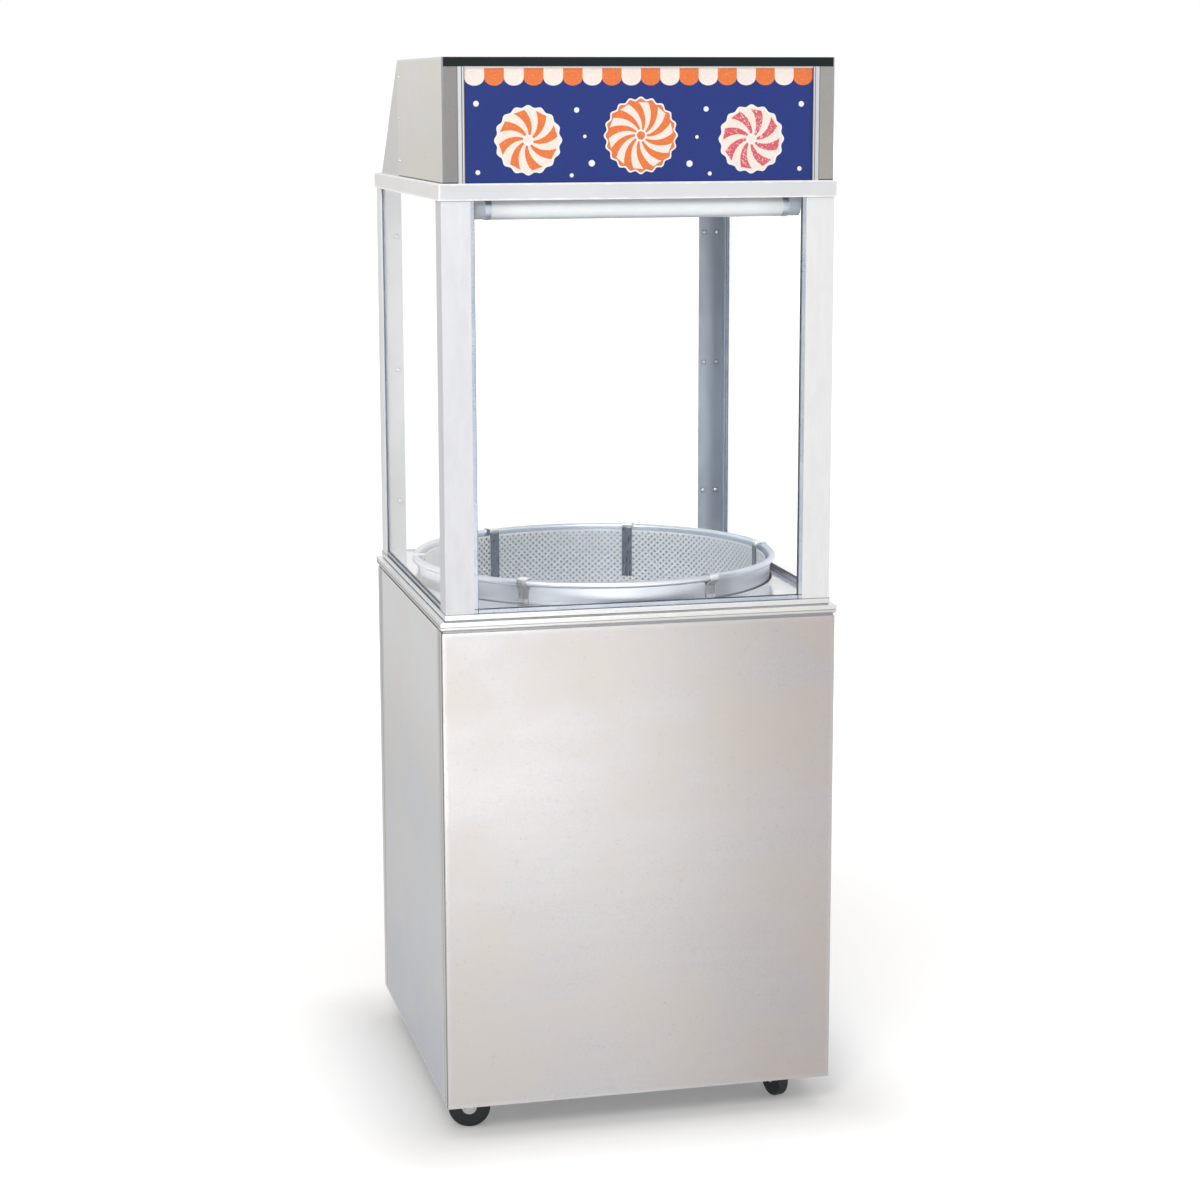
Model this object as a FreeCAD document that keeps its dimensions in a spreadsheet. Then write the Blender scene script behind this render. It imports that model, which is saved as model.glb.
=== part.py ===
import FreeCAD, Part
import math
import os
import re
import Sketcher

# Floor-standing candy floss cabinet on casters: a stainless base cabinet, a
# glazed case with a spun aluminium pan let into its deck, a lit sign header,
# and below the deck the motor that spins the heated sugar head.
#
# Frame: +Z up, +X to the right seen from the customer's side, -Y towards the
# customer. The origin is on the floor, under the centre of the cabinet.

Vector = FreeCAD.Vector
doc = FreeCAD.newDocument("floss_cabinet")
sizes = doc.addObject("Spreadsheet::Sheet", "sizes")

DRIVING_SIZES = [
    # base cabinet
    ("cabinet_width", 711.2, "28 in across the side panels"),
    ("cabinet_depth", 711.2, "28 in from front panel to rear uprights"),
    ("cabinet_height", 865.5, "front panel, bottom edge to top edge"),
    ("floor_gap", 60.0, "floor to the bottom edge of the panels"),
    ("sheet_gauge", 1.2, "stainless panels"),
    ("upright_leg", 50.8, "corner uprights, 2 in legs"),
    ("upright_gauge", 1.5, "corner uprights"),
    ("upright_hook", 9.6, "return on the rear uprights that the door closes on"),
    ("panel_return", 8.0, "folded edge of the front, door and control panels"),
    ("corner_seam", 2.6, "dark joint behind the front panel's folded edge"),
    ("panel_seam", 0.5, "joint between side panel and upright"),
    ("panel_lap", 20.0, "joggled edge of a side panel behind the upright"),
    ("seat_gap", 0.3, "gap left between pieces that seat on each other"),
    ("floor_flange", 20.0, "upturned edge of the cabinet floor"),
    ("rear_setback", 17.6, "floor edge in from the rear face"),
    ("shelf_flange", 32.0, "downturned edge of the machine shelf"),
    ("shelf_gauge", 2.0, "machine shelf"),
    ("shelf_hole", 90.0, "radius of the motor opening"),
    # ledge and case
    ("ledge_height", 14.9, "moulding round the cabinet top"),
    ("ledge_overhang", 2.9, "moulding past the panels"),
    ("ledge_reveal", 4.5, "shadow gap under the moulding"),
    ("ledge_depth", 26.0, "moulding, outer face to inner face"),
    ("ledge_groove", 1.4, "groove along the moulding's nose, high and deep"),
    ("ledge_groove_rise", 6.0, "groove above the moulding's underside"),
    ("case_inset", 8.2, "case posts in from the cabinet face"),
    ("case_height", 749.0, "ledge top to the top of the case"),
    ("rail_gauge", 1.2, "rail round the foot of the case"),
    ("rail_rise", 11.7, "rail above the ledge"),
    ("rail_foot", 3.0, "foot of the rail"),
    ("rail_shadow", 2.1, "shadow gap under the rail, high and deep"),
    ("rail_flange", 16.0, "rail's foot under the deck"),
    ("deck_drop", 2.0, "deck below the rail's edge"),
    ("deck_gauge", 1.5, "deck sheet"),
    ("deck_hole_gap", 4.4, "open joint between the pan and the deck"),
    ("post_leg", 50.8, "case posts, 2 in legs"),
    ("post_gauge", 1.6, "case posts"),
    ("glass_gauge", 4.0, "5/32 in glass"),
    ("glass_play", 1.0, "glass edge to the bottom of its channel"),
    ("channel_width", 9.5, "glazing channel across"),
    ("channel_depth", 9.5, "glazing channel deep"),
    ("channel_wall", 1.2, "glazing channel wall"),
    ("channel_show", 7.1, "channel seen past the edge of a post"),
    ("top_height", 28.5, "skirt of the case top"),
    ("top_overhang", 3.6, "case top past the posts"),
    ("top_gauge", 1.2, "case top sheet"),
    ("top_bend", 2.4, "outside radius of the case top's corners"),
    # case lamp
    ("lamp_radius", 19.0, "fluorescent tube, 1 1/2 in"),
    ("lamp_half", 269.0, "half the tube between its holders"),
    ("lamp_glass_gap", 5.3, "tube to the front glass"),
    ("lamp_drop", 43.5, "tube centre below the case top"),
    ("holder_width", 21.0, "lamp holder along the tube"),
    ("holder_half", 18.0, "half the lamp holder across"),
    ("lamp_pin", 9.0, "tube's end sunk in the holder"),
    # header
    ("header_height", 209.0, "sign box"),
    ("header_width", 688.4, "sign box"),
    ("header_depth", 446.9, "square part of the sign box"),
    ("header_tail", 201.0, "sloping rear cover, front to back"),
    ("header_setback", 2.0, "sign box behind the case top's face"),
    ("header_gauge", 1.2, "sign box sheet"),
    ("header_bend", 3.0, "outside radius of the sign box's front corners"),
    ("strip_height", 15.6, "dark strip over the sign"),
    ("strip_gauge", 1.6, "dark strip"),
    ("sign_margin", 26.5, "plain border beside the sign"),
    ("sign_channel", 12.7, "sign moulding, 1/2 in"),
    ("sign_gauge", 3.2, "sign panel"),
    # pan
    ("rim_radius", 338.0, "outside of the rolled rim, 26 in pan"),
    ("bead_radius", 6.0, "rolled rim"),
    ("pan_gauge", 1.6, "spun aluminium"),
    ("pan_depth", 178.0, "7 in deep"),
    ("pan_rise", 45.0, "rim above the deck"),
    ("pan_corner", 26.0, "radius between wall and floor"),
    ("pan_hole", 32.0, "radius of the centre hole"),
    ("pan_collar", 18.0, "collar round the centre hole"),
    ("net_gap", 6.8, "net in from the wall"),
    ("net_gauge", 1.2, "net"),
    ("net_drop", 11.4, "net below the rim"),
    ("net_height", 127.0, "net, 5 in"),
    ("clip_width", 20.0, "spring clip"),
    ("clip_gauge", 1.2, "spring clip"),
    ("clip_reach", 104.0, "inner leg of a clip below the rim"),
    ("clip_foot", 3.0, "outer leg of a clip above the deck"),
    # spinner
    ("shaft_radius", 8.0, "5/8 in shaft"),
    ("shaft_play", 0.05, "running clearance round the shaft"),
    ("motor_radius", 62.0, "motor shell"),
    ("motor_height", 150.0, "motor shell"),
    ("motor_plate", 118.0, "radius of the motor's top plate"),
    ("motor_plate_gauge", 5.0, "motor's top plate"),
    ("isolator_radius", 11.0, "rubber isolator"),
    ("isolator_height", 22.0, "rubber isolator"),
    ("isolator_circle", 103.0, "isolators from the shaft"),
    ("ring_radius", 22.0, "slip rings"),
    ("ring_height", 6.0, "one slip ring"),
    ("head_radius", 63.5, "sugar head, 5 in"),
    ("head_lift", 38.0, "sugar head above the pan floor"),
    ("head_height", 50.0, "sugar head, bowl to cap"),
    ("heater_radius", 57.0, "outside of the heater band"),
    ("heater_gauge", 2.0, "heater band"),
    ("heater_slots", 30, "slots round the heater band"),
    # casters
    ("wheel_radius", 38.1, "caster wheel, 3 in"),
    ("caster_head", 28.8, "caster above its wheel, to the mounting face"),
    ("wheel_width", 22.0, "caster tread"),
    ("caster_trail", 22.0, "axle behind the king pin"),
    ("caster_inset_x", 72.6, "king pin in from the side"),
    ("caster_inset_y", 65.6, "king pin in from front and rear"),
    ("caster_plate", 64.0, "square mounting plate"),
    ("caster_plate_gauge", 2.5, "mounting plate"),
    ("race_radius", 24.0, "swivel race"),
    ("king_pin", 6.0, "radius of the king pin"),
    ("fork_gauge", 2.5, "caster fork"),
    ("fork_gap", 28.0, "between the fork's legs"),
    ("axle_radius", 4.0, "caster axle bolt"),
    ("hub_radius", 13.5, "under the tyre"),
    ("boss_radius", 9.0, "hub boss and the end of a fork leg"),
    ("pin_play", 0.06, "running clearance of pins and axles"),
    # rear door and controls
    ("door_bottom", 8.0, "door above the panels' bottom edge"),
    ("door_height", 572.0, "rear door"),
    ("door_gap", 1.2, "joint round the door"),
    ("panel_gap", 4.0, "joint between door and control panel"),
    ("hinge_height", 64.0, "butt hinge"),
    ("knuckle_radius", 4.0, "hinge knuckle"),
    ("hinge_pin", 1.6, "hinge pin radius"),
    ("hinge_gauge", 1.5, "hinge leaf"),
    ("hinge_leaf", 26.0, "hinge leaf past its knuckle"),
    ("hinge_inset", 68.0, "hinge in from the door's ends"),
    ("vent_width", 6.0, "vent slot in the door"),
    ("vent_height", 60.0, "vent slot in the door"),
    ("vent_drop", 60.0, "vent slots below the door's top edge"),
    ("vent_span", 336.0, "first vent slot to the last"),
    ("latch_inset", 24.0, "latch spindle in from the door's edge"),
    ("latch_spindle", 5.0, "latch spindle radius"),
    ("latch_handle", 60.0, "latch handle length"),
    ("latch_reach", 36.0, "latch cam past the spindle"),
    ("controls_height", 726.0, "row of controls above the floor"),
    ("rocker_width", 18.0, "rocker switch"),
    ("rocker_height", 25.0, "rocker switch"),
    ("rocker_room", 1.5, "room above and below a rocker"),
    ("bezel_border", 4.0, "switch bezel past its housing"),
    ("rocker_tilt", 10.0, "degrees from level"),
    ("knob_radius", 18.0, "heat knob"),
    ("knob_height", 15.0, "heat knob"),
    ("control_radius", 20.0, "heat control body"),
    ("pilot_radius", 7.0, "pilot lamp lens"),
    ("gland_bore", 4.2, "power lead entry"),
    ("gland_radius", 13.0, "power lead entry flange"),
]

for row, (alias, size, meaning) in enumerate(DRIVING_SIZES, 1):
    sizes.set(f"A{row}", alias)
    sizes.set(f"B{row}", str(size))
    sizes.set(f"C{row}", meaning)
    sizes.setAlias(f"B{row}", alias)
doc.recompute()
ALIASES = {alias for alias, _, _ in DRIVING_SIZES}

# Spring clips sit where a hand pushed them on, about a sixth of a turn apart.
CLIP_ANGLES = [3, 65, 115, 175, 234, 295.5]

# Caster name, side across, side along, and the way its wheel trails.
CASTERS = [
    ("front_left", "-1", "-1", 169),
    ("front_right", "1", "-1", 100),
    ("rear_left", "-1", "1", 60),
    ("rear_right", "1", "1", 132),
]

# Rocker switches across the control panel, in millimetres from its middle.
ROCKERS = [("motor_switch", 160), ("heat_switch", 105), ("light_switch", 50)]
KNOB_X, PILOT_X, GLAND_X, GLAND_Z = "-40", "-120", "-262", "680"

# Levels and faces that several pieces share, as formulas of the sheet.
CABINET_TOP = "(floor_gap + cabinet_height)"
LEDGE_BOTTOM = f"({CABINET_TOP} + ledge_reveal)"
LEDGE_TOP = f"({LEDGE_BOTTOM} + ledge_height)"
RAIL_TOP = f"({LEDGE_TOP} + rail_rise)"
DECK_TOP = f"({RAIL_TOP} - deck_drop)"
DECK_FOOT = f"({LEDGE_TOP} + rail_foot)"
CASE_TOP = f"({LEDGE_TOP} + case_height)"
CASE_CEILING = f"({CASE_TOP} - top_gauge)"
HEADER_TOP = f"({CASE_TOP} + header_height)"
RIM_TOP = f"({DECK_TOP} + pan_rise)"
PAN_BOTTOM = f"({RIM_TOP} - pan_depth)"
FLOOR_BOTTOM = "(2*wheel_radius + caster_head)"
POST_X = "(cabinet_width/2 - case_inset)"
POST_Y = "(cabinet_depth/2 - case_inset)"
LAP_FACE = "(cabinet_width/2 - upright_gauge - sheet_gauge)"
FRONT_FACE = "(-cabinet_depth/2)"
REAR_FACE = "(cabinet_depth/2)"
FRONT_LINE = "(cabinet_depth/2 - panel_return - corner_seam - upright_gauge)"
REAR_LINE = "(cabinet_depth/2 - rear_setback)"
PAN_WALL = "(rim_radius - 2*bead_radius + pan_gauge)"
HEADER_FRONT = f"(-{POST_Y} - top_overhang + header_setback)"
HEADER_SEAM = f"({HEADER_FRONT} + header_depth)"
MOTOR_TOP = f"({PAN_BOTTOM} - shelf_gauge - isolator_height)"
HEAD_BOTTOM = f"({PAN_BOTTOM} + head_lift)"
DOOR_LOW = "(floor_gap + door_bottom)"
DOOR_HIGH = f"({DOOR_LOW} + door_height)"
DOOR_EDGE = "(cabinet_width/2 - upright_leg - door_gap)"
HINGE_X = "(cabinet_width/2 - upright_leg - door_gap/2)"
HINGE_Y = "(cabinet_depth/2 + knuckle_radius + 0.2)"
PANEL_BACK = "(cabinet_depth/2 - sheet_gauge)"

nodes = []


def tied(formula):
    """The formula with every alias pointing at the sheet."""
    return re.sub(r"[a-z][a-z_]*", lambda m: f"sizes.{m[0]}" if m[0] in ALIASES else m[0],
                  str(formula))


def value(formula):
    return float(sizes.evalExpression(str(formula)))


def new_body(label):
    body = doc.addObject("PartDesign::Body", label)
    body.Label = label
    return body


def keep(item, label=None):
    """Make an object a sub-part: its label names its file."""
    if label:
        item.Label = label
    nodes.append(item)
    return item


def group(label, pieces):
    """One sub-part made of several separate solids."""
    compound = doc.addObject("Part::Compound", label)
    for piece in pieces:
        piece.Label = f"{label}_{piece.Label}"
    compound.Links = pieces
    return keep(compound, label)


def mirrored(piece, label, normal=Vector(1, 0, 0)):
    copy = doc.addObject("Part::Mirroring", label)
    copy.Source = piece
    copy.Normal = normal
    copy.Label = label
    return copy


def sketch_on(body, role, raised="0"):
    """A sketch on one of the body's origin planes, raised along its normal.

    XY looks down from +Z, XZ has its normal along -Y, YZ along +X.
    """
    sketch = body.newObject("Sketcher::SketchObject", f"{body.Name}_sketch")
    plane = next(f for f in body.Origin.OriginFeatures if f.Role == role)
    sketch.AttachmentSupport = [(plane, "")]
    sketch.MapMode = "FlatFace"
    sketch.setExpression("AttachmentOffset.Base.z", tied(raised))
    return sketch


def arc_between(start, end, radius, turn, is_long):
    """Arc from start to end that turns left or right, and its start's end number."""
    chord = end - start
    middle = (start + end) * 0.5
    left = Vector(-chord.y, chord.x, 0).normalize()
    offset = math.sqrt(max(radius**2 - (chord.Length / 2) ** 2, 0))
    side = 1 if (turn == "left") != is_long else -1
    centre = middle + left * (side * offset)
    first, last = (start, end) if turn == "left" else (end, start)
    a0 = math.atan2(first.y - centre.y, first.x - centre.x)
    a1 = math.atan2(last.y - centre.y, last.x - centre.x)
    if a1 <= a0:
        a1 += 2 * math.pi
    return Part.ArcOfCircle(Part.Circle(centre, Vector(0, 0, 1), radius), a0, a1)


def outline(sketch, corners):
    """Closed outline whose corners, and arc radii, are tied to the sheet.

    A corner is (x, y), or (x, y, radius, turn, is_long) where the edge that
    leaves it is an arc.
    """
    points = [Vector(value(c[0]), value(c[1]), 0) for c in corners]
    first = len(sketch.Geometry)
    starts = []
    for i, corner in enumerate(corners):
        start, end = points[i], points[(i + 1) % len(points)]
        if len(corner) == 2:
            sketch.addGeometry(Part.LineSegment(start, end), False)
            starts.append(1)
        else:
            radius, turn, is_long = corner[2:]
            arc = arc_between(start, end, value(radius), turn, is_long)
            sketch.addGeometry(arc, False)
            starts.append(1 if turn == "left" else 2)
            rule = Sketcher.Constraint("Radius", first + i, value(radius))
            number = sketch.addConstraint(rule)
            sketch.setExpression(f"Constraints[{number}]", tied(radius))
    for i, corner in enumerate(corners):
        j = (i + 1) % len(corners)
        join = Sketcher.Constraint("Coincident", first + i, 3 - starts[i], first + j, starts[j])
        sketch.addConstraint(join)
        for kind, formula in (("DistanceX", corner[0]), ("DistanceY", corner[1])):
            rule = Sketcher.Constraint(kind, -1, 1, first + i, starts[i], value(formula))
            number = sketch.addConstraint(rule)
            sketch.setExpression(f"Constraints[{number}]", tied(formula))


def half_round(x, y, radius, way):
    """Corners of a half circle round (x, y), below it or above it."""
    sign = "+" if way == "above" else "-"
    other = "-" if way == "above" else "+"
    return [(f"({x} {sign} {radius})", y, radius, "left", False),
            (x, f"({y} {sign} {radius})", radius, "left", False),
            (f"({x} {other} {radius})", y)]


def rectangle(sketch, x0, x1, y0, y1):
    outline(sketch, [(x0, y0), (x1, y0), (x1, y1), (x0, y1)])


def circle(sketch, x, y, radius):
    centre = Vector(value(x), value(y), 0)
    number = sketch.addGeometry(Part.Circle(centre, Vector(0, 0, 1), value(radius)), False)
    rules = [
        (Sketcher.Constraint("DistanceX", -1, 1, number, 3, centre.x), x),
        (Sketcher.Constraint("DistanceY", -1, 1, number, 3, centre.y), y),
        (Sketcher.Constraint("Radius", number, value(radius)), radius),
    ]
    for rule, formula in rules:
        index = sketch.addConstraint(rule)
        sketch.setExpression(f"Constraints[{index}]", tied(formula))


def pad(sketch, length, both_ways=False):
    body = sketch.getParentGeoFeatureGroup()
    feature = body.newObject("PartDesign::Pad", f"{body.Name}_pad")
    feature.Profile = sketch
    feature.setExpression("Length", tied(length))
    feature.Midplane = both_ways
    doc.recompute()
    return feature


def pocket(sketch, depth=None, towards_normal=False):
    """Cut against the sketch's normal, or along it; with no depth, right through."""
    body = sketch.getParentGeoFeatureGroup()
    before = body.Shape.Volume
    feature = body.newObject("PartDesign::Pocket", f"{body.Name}_pocket")
    feature.Profile = sketch
    if depth is None:
        feature.Type = 1
        feature.Midplane = True
    else:
        feature.setExpression("Length", tied(depth))
        feature.Reversed = towards_normal
    doc.recompute()
    if not body.Shape.Volume < before - 1e-6:
        raise RuntimeError(f"{body.Label}: a pocket removed nothing")
    return feature


def revolve(sketch, axis="V_Axis"):
    body = sketch.getParentGeoFeatureGroup()
    feature = body.newObject("PartDesign::Revolution", f"{body.Name}_revolution")
    feature.Profile = sketch
    feature.ReferenceAxis = (sketch, [axis])
    feature.Angle = 360
    doc.recompute()
    return feature


def hollow(body, gauge, *open_towards):
    """Fold a block into sheet: walls inside its faces, open on the faces named."""
    open_faces = []
    for number, face in enumerate(body.Shape.Faces, 1):
        if any(face.normalAt(0, 0).dot(Vector(*way)) > 0.99 for way in open_towards):
            open_faces.append(f"Face{number}")
    base = body.Tip
    feature = body.newObject("PartDesign::Thickness", f"{body.Name}_sheet")
    feature.Base = (base, open_faces)
    feature.setExpression("Value", tied(gauge))
    feature.Mode = 0
    feature.Join = 1
    feature.Reversed = True
    doc.recompute()


def soften(body, name, kind, size, chosen):
    """Fillet or Chamfer on the edges that the test chooses."""
    edges = [f"Edge{i}" for i, e in enumerate(body.Shape.Edges, 1) if chosen(e)]
    base = body.Tip
    feature = body.newObject(f"PartDesign::{kind}", f"{body.Name}_{name}")
    feature.Base = (base, edges)
    feature.setExpression("Radius" if kind == "Fillet" else "Size", tied(size))
    doc.recompute()


def upright_edge(edge):
    """True for an edge that runs straight up."""
    return edge.BoundBox.ZLength > 1 and edge.BoundBox.XLength + edge.BoundBox.YLength < 0.01


def place(item, x="0", y="0", z="0", turn=None):
    """Put a piece at a place worked out from the sheet, turned about Z."""
    if turn is not None:
        item.Placement = FreeCAD.Placement(Vector(), FreeCAD.Rotation(Vector(0, 0, 1), turn))
    for axis, formula in zip("xyz", (x, y, z)):
        item.setExpression(f"Placement.Base.{axis}", tied(formula))


def block(label, x0, x1, y0, y1, z0, z1):
    """A plain bar or plate between two corners."""
    body = new_body(label)
    sketch = sketch_on(body, "XY_Plane", z0)
    rectangle(sketch, x0, x1, y0, y1)
    pad(sketch, f"({z1}) - ({z0})")
    return body


def frame_ring(label, x_out, y_out, depth, z0, z1):
    """A rectangular ring round the cabinet, depth wide."""
    body = new_body(label)
    add_ring(body, x_out, y_out, depth, z0, z1)
    return body


def add_ring(body, x_out, y_out, depth, z0, z1):
    sketch = sketch_on(body, "XY_Plane", z0)
    rectangle(sketch, f"-{x_out}", x_out, f"-{y_out}", y_out)
    x_in, y_in = f"({x_out} - {depth})", f"({y_out} - {depth})"
    rectangle(sketch, f"-{x_in}", x_in, f"-{y_in}", y_in)
    pad(sketch, f"({z1}) - ({z0})")


def cut_ring(body, x_out, y_out, depth, z0, z1):
    """A groove round the outside of a ring, depth deep."""
    sketch = sketch_on(body, "XY_Plane", z1)
    rectangle(sketch, f"-({x_out} + 1)", f"({x_out} + 1)", f"-({y_out} + 1)", f"({y_out} + 1)")
    x_in, y_in = f"({x_out} - {depth})", f"({y_out} - {depth})"
    rectangle(sketch, f"-{x_in}", x_in, f"-{y_in}", y_in)
    pocket(sketch, f"({z1}) - ({z0})")


def spun(label, corners):
    """A turned or spun piece: half outline (radius, height) round Z."""
    body = new_body(label)
    sketch = sketch_on(body, "XZ_Plane")
    outline(sketch, corners)
    revolve(sketch)
    return body


def spun_along_y(label, corners, x, z):
    """A turned piece whose axis runs along Y: (radius, y) placed at x and z."""
    body = new_body(label)
    sketch = sketch_on(body, "XY_Plane")
    outline(sketch, corners)
    revolve(sketch)
    place(body, x=x, z=z)
    return body


# ---------------------------------------------------------------- cabinet

# Front panel: one stainless sheet with a folded edge all round.
front_panel = new_body("front_panel")
sketch = sketch_on(front_panel, "XZ_Plane", "cabinet_depth/2 - panel_return")
rectangle(sketch, "-cabinet_width/2", "cabinet_width/2", "floor_gap", CABINET_TOP)
pad(sketch, "panel_return")
hollow(front_panel, "sheet_gauge", (0, 1, 0))
keep(front_panel)

# Side panels: flat sheet, joggled behind the uprights at both edges.
SEAM_Y = "(cabinet_depth/2 - upright_leg - panel_seam)"
SIDE_X = "(cabinet_width/2)"
LEG_INSIDE = "(cabinet_width/2 - upright_gauge)"
SHEET_INSIDE = "(cabinet_width/2 - sheet_gauge)"
JOG_Y = f"({SEAM_Y} - sheet_gauge)"
left_side = new_body("left_side_panel")
sketch = sketch_on(left_side, "XY_Plane", "floor_gap")
half = [
    (f"-{SIDE_X}", SEAM_Y), (f"-{LEG_INSIDE}", SEAM_Y),
    (f"-{LEG_INSIDE}", f"({SEAM_Y} + panel_lap)"), (f"-{LAP_FACE}", f"({SEAM_Y} + panel_lap)"),
    (f"-{LAP_FACE}", JOG_Y), (f"-{SHEET_INSIDE}", JOG_Y),
]
outline(sketch, half + [(x, f"-{y}") for x, y in reversed(half)])
pad(sketch, "cabinet_height")
keep(left_side)
keep(mirrored(left_side, "right_side_panel"))

# Corner uprights: folded angles. The front ones step in, so that the front
# panel's edge tucks into them; the rear ones have a hook for the door latch.
HOOK_X = "(cabinet_width/2 - upright_leg)"
front_upright = new_body("front_left")
sketch = sketch_on(front_upright, "XY_Plane", "floor_gap")
STEP_X = "(cabinet_width/2 - sheet_gauge - panel_seam)"
STEP_Y = "(cabinet_depth/2 - panel_return - corner_seam)"
FACE_Y = "(cabinet_depth/2 - sheet_gauge)"
LEG_END = "(cabinet_depth/2 - upright_leg)"
outline(sketch, [
    (f"-{SIDE_X}", f"-{LEG_END}"), (f"-{SIDE_X}", f"-{STEP_Y}"),
    (f"-{STEP_X}", f"-{STEP_Y}"), (f"-{STEP_X}", f"-{FACE_Y}"),
    (f"-{HOOK_X}", f"-{FACE_Y}"), (f"-{HOOK_X}", f"-({FACE_Y} - upright_gauge)"),
    (f"-({STEP_X} - upright_gauge)", f"-({FACE_Y} - upright_gauge)"),
    (f"-({STEP_X} - upright_gauge)", f"-{FRONT_LINE}"),
    (f"-{LEG_INSIDE}", f"-{FRONT_LINE}"), (f"-{LEG_INSIDE}", f"-{LEG_END}"),
])
pad(sketch, "cabinet_height")
sketch = sketch_on(front_upright, "YZ_Plane")
FOLD = "(sheet_gauge + seat_gap)"
for low, high in (("floor_gap", f"(floor_gap + {FOLD})"), (f"({CABINET_TOP} - {FOLD})", CABINET_TOP)):
    rectangle(sketch, FRONT_FACE, f"-({REAR_FACE} - panel_return)", low, high)
pocket(sketch)
rear_upright = new_body("rear_left")
sketch = sketch_on(rear_upright, "XY_Plane", "floor_gap")
outline(sketch, [
    (f"-{SIDE_X}", LEG_END), (f"-{LEG_INSIDE}", LEG_END),
    (f"-{LEG_INSIDE}", f"({REAR_FACE} - upright_gauge)"),
    (f"-({HOOK_X} + upright_gauge)", f"({REAR_FACE} - upright_gauge)"),
    (f"-({HOOK_X} + upright_gauge)", f"({REAR_FACE} - upright_hook)"),
    (f"-{HOOK_X}", f"({REAR_FACE} - upright_hook)"), (f"-{HOOK_X}", REAR_FACE),
    (f"-{SIDE_X}", REAR_FACE),
])
pad(sketch, "cabinet_height")
group("corner_uprights", [
    front_upright, mirrored(front_upright, "front_right"),
    rear_upright, mirrored(rear_upright, "rear_right"),
])

# Cabinet floor: a tray that carries the casters, with its edge turned up.
floor_pan = new_body("floor_pan")
sketch = sketch_on(floor_pan, "XY_Plane", FLOOR_BOTTOM)
rectangle(sketch, f"-{LAP_FACE}", LAP_FACE, f"-{FRONT_LINE}", REAR_LINE)
pad(sketch, "floor_flange")
hollow(floor_pan, "upright_gauge", (0, 0, 1))
keep(floor_pan)

# Machine shelf: carries the pan and, on rubber isolators, the motor.
machine_shelf = new_body("machine_shelf")
sketch = sketch_on(machine_shelf, "XY_Plane", f"{PAN_BOTTOM} - shelf_flange")
rectangle(sketch, f"-{LAP_FACE}", LAP_FACE, f"-{FRONT_LINE}", REAR_LINE)
pad(sketch, "shelf_flange")
hollow(machine_shelf, "shelf_gauge", (0, 0, -1))
sketch = sketch_on(machine_shelf, "XY_Plane", PAN_BOTTOM)
circle(sketch, "0", "0", "shelf_hole")
pocket(sketch, "shelf_gauge")
keep(machine_shelf)

# Ledge moulding: sits on the panels, grooved along its nose and bevelled under it.
LEDGE_X = "(cabinet_width/2 + ledge_overhang)"
LEDGE_Y = "(cabinet_depth/2 + ledge_overhang)"
TENON = "(ledge_overhang + sheet_gauge + 0.9)"
ledge = frame_ring("ledge_moulding", LEDGE_X, LEDGE_Y, "ledge_depth", LEDGE_BOTTOM, LEDGE_TOP)
add_ring(ledge, f"({LEDGE_X} - {TENON})", f"({LEDGE_Y} - {TENON})",
         f"(ledge_depth - {TENON})", CABINET_TOP, LEDGE_BOTTOM)
nose_x, nose_y, nose_z = value(LEDGE_X), value(LEDGE_Y), value(LEDGE_BOTTOM)
soften(ledge, "bevel", "Chamfer", "ledge_overhang - 0.4", lambda e: (
    abs(e.BoundBox.ZMax - nose_z) < 0.01 and e.BoundBox.ZLength < 0.01
    and (abs(abs(e.CenterOfMass.x) - nose_x) < 0.01 or abs(abs(e.CenterOfMass.y) - nose_y) < 0.01)))
GROOVE_LOW = f"({LEDGE_BOTTOM} + ledge_groove_rise)"
cut_ring(ledge, LEDGE_X, LEDGE_Y, "ledge_groove", GROOVE_LOW, f"{GROOVE_LOW} + ledge_groove")
keep(ledge)

# ---------------------------------------------------------------- case

# Rail round the foot of the case: its foot runs in under the deck, over a shadow gap.
RAIL_X = f"({POST_X} + rail_gauge)"
RAIL_Y = f"({POST_Y} + rail_gauge)"
base_rail = frame_ring("base_rail", RAIL_X, RAIL_Y, "rail_flange", LEDGE_TOP, DECK_FOOT)
add_ring(base_rail, RAIL_X, RAIL_Y, "rail_gauge", DECK_FOOT, RAIL_TOP)
cut_ring(base_rail, RAIL_X, RAIL_Y, "rail_shadow", LEDGE_TOP, f"{LEDGE_TOP} + rail_shadow")
keep(base_rail)

# Deck: a shallow tray, edges down, with the hole that the pan stands in.
DECK_X = f"({POST_X} - post_gauge - seat_gap)"
DECK_Y = f"({POST_Y} - post_gauge - seat_gap)"
deck = new_body("deck")
sketch = sketch_on(deck, "XY_Plane", DECK_FOOT)
rectangle(sketch, f"-{DECK_X}", DECK_X, f"-{DECK_Y}", DECK_Y)
pad(sketch, f"{DECK_TOP} - {DECK_FOOT}")
hollow(deck, "deck_gauge", (0, 0, -1))
sketch = sketch_on(deck, "XY_Plane", DECK_TOP)
circle(sketch, "0", "0", f"{PAN_WALL} + deck_hole_gap")
pocket(sketch, "deck_gauge")
keep(deck)


def post(label, side, end):
    """Case post: a 2 in aluminium angle, its corner outwards."""
    body = new_body(label)
    sketch = sketch_on(body, "XY_Plane", DECK_FOOT)
    x, y = f"{side}*{POST_X}", f"{end}*{POST_Y}"
    x_in, y_in = f"{side}*({POST_X} - post_gauge)", f"{end}*({POST_Y} - post_gauge)"
    x_leg, y_leg = f"{side}*({POST_X} - post_leg)", f"{end}*({POST_Y} - post_leg)"
    outline(sketch, [(x, y), (x_leg, y), (x_leg, y_in), (x_in, y_in), (x_in, y_leg), (x, y_leg)])
    pad(sketch, f"{CASE_CEILING} - {DECK_FOOT}")
    return keep(body)


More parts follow.
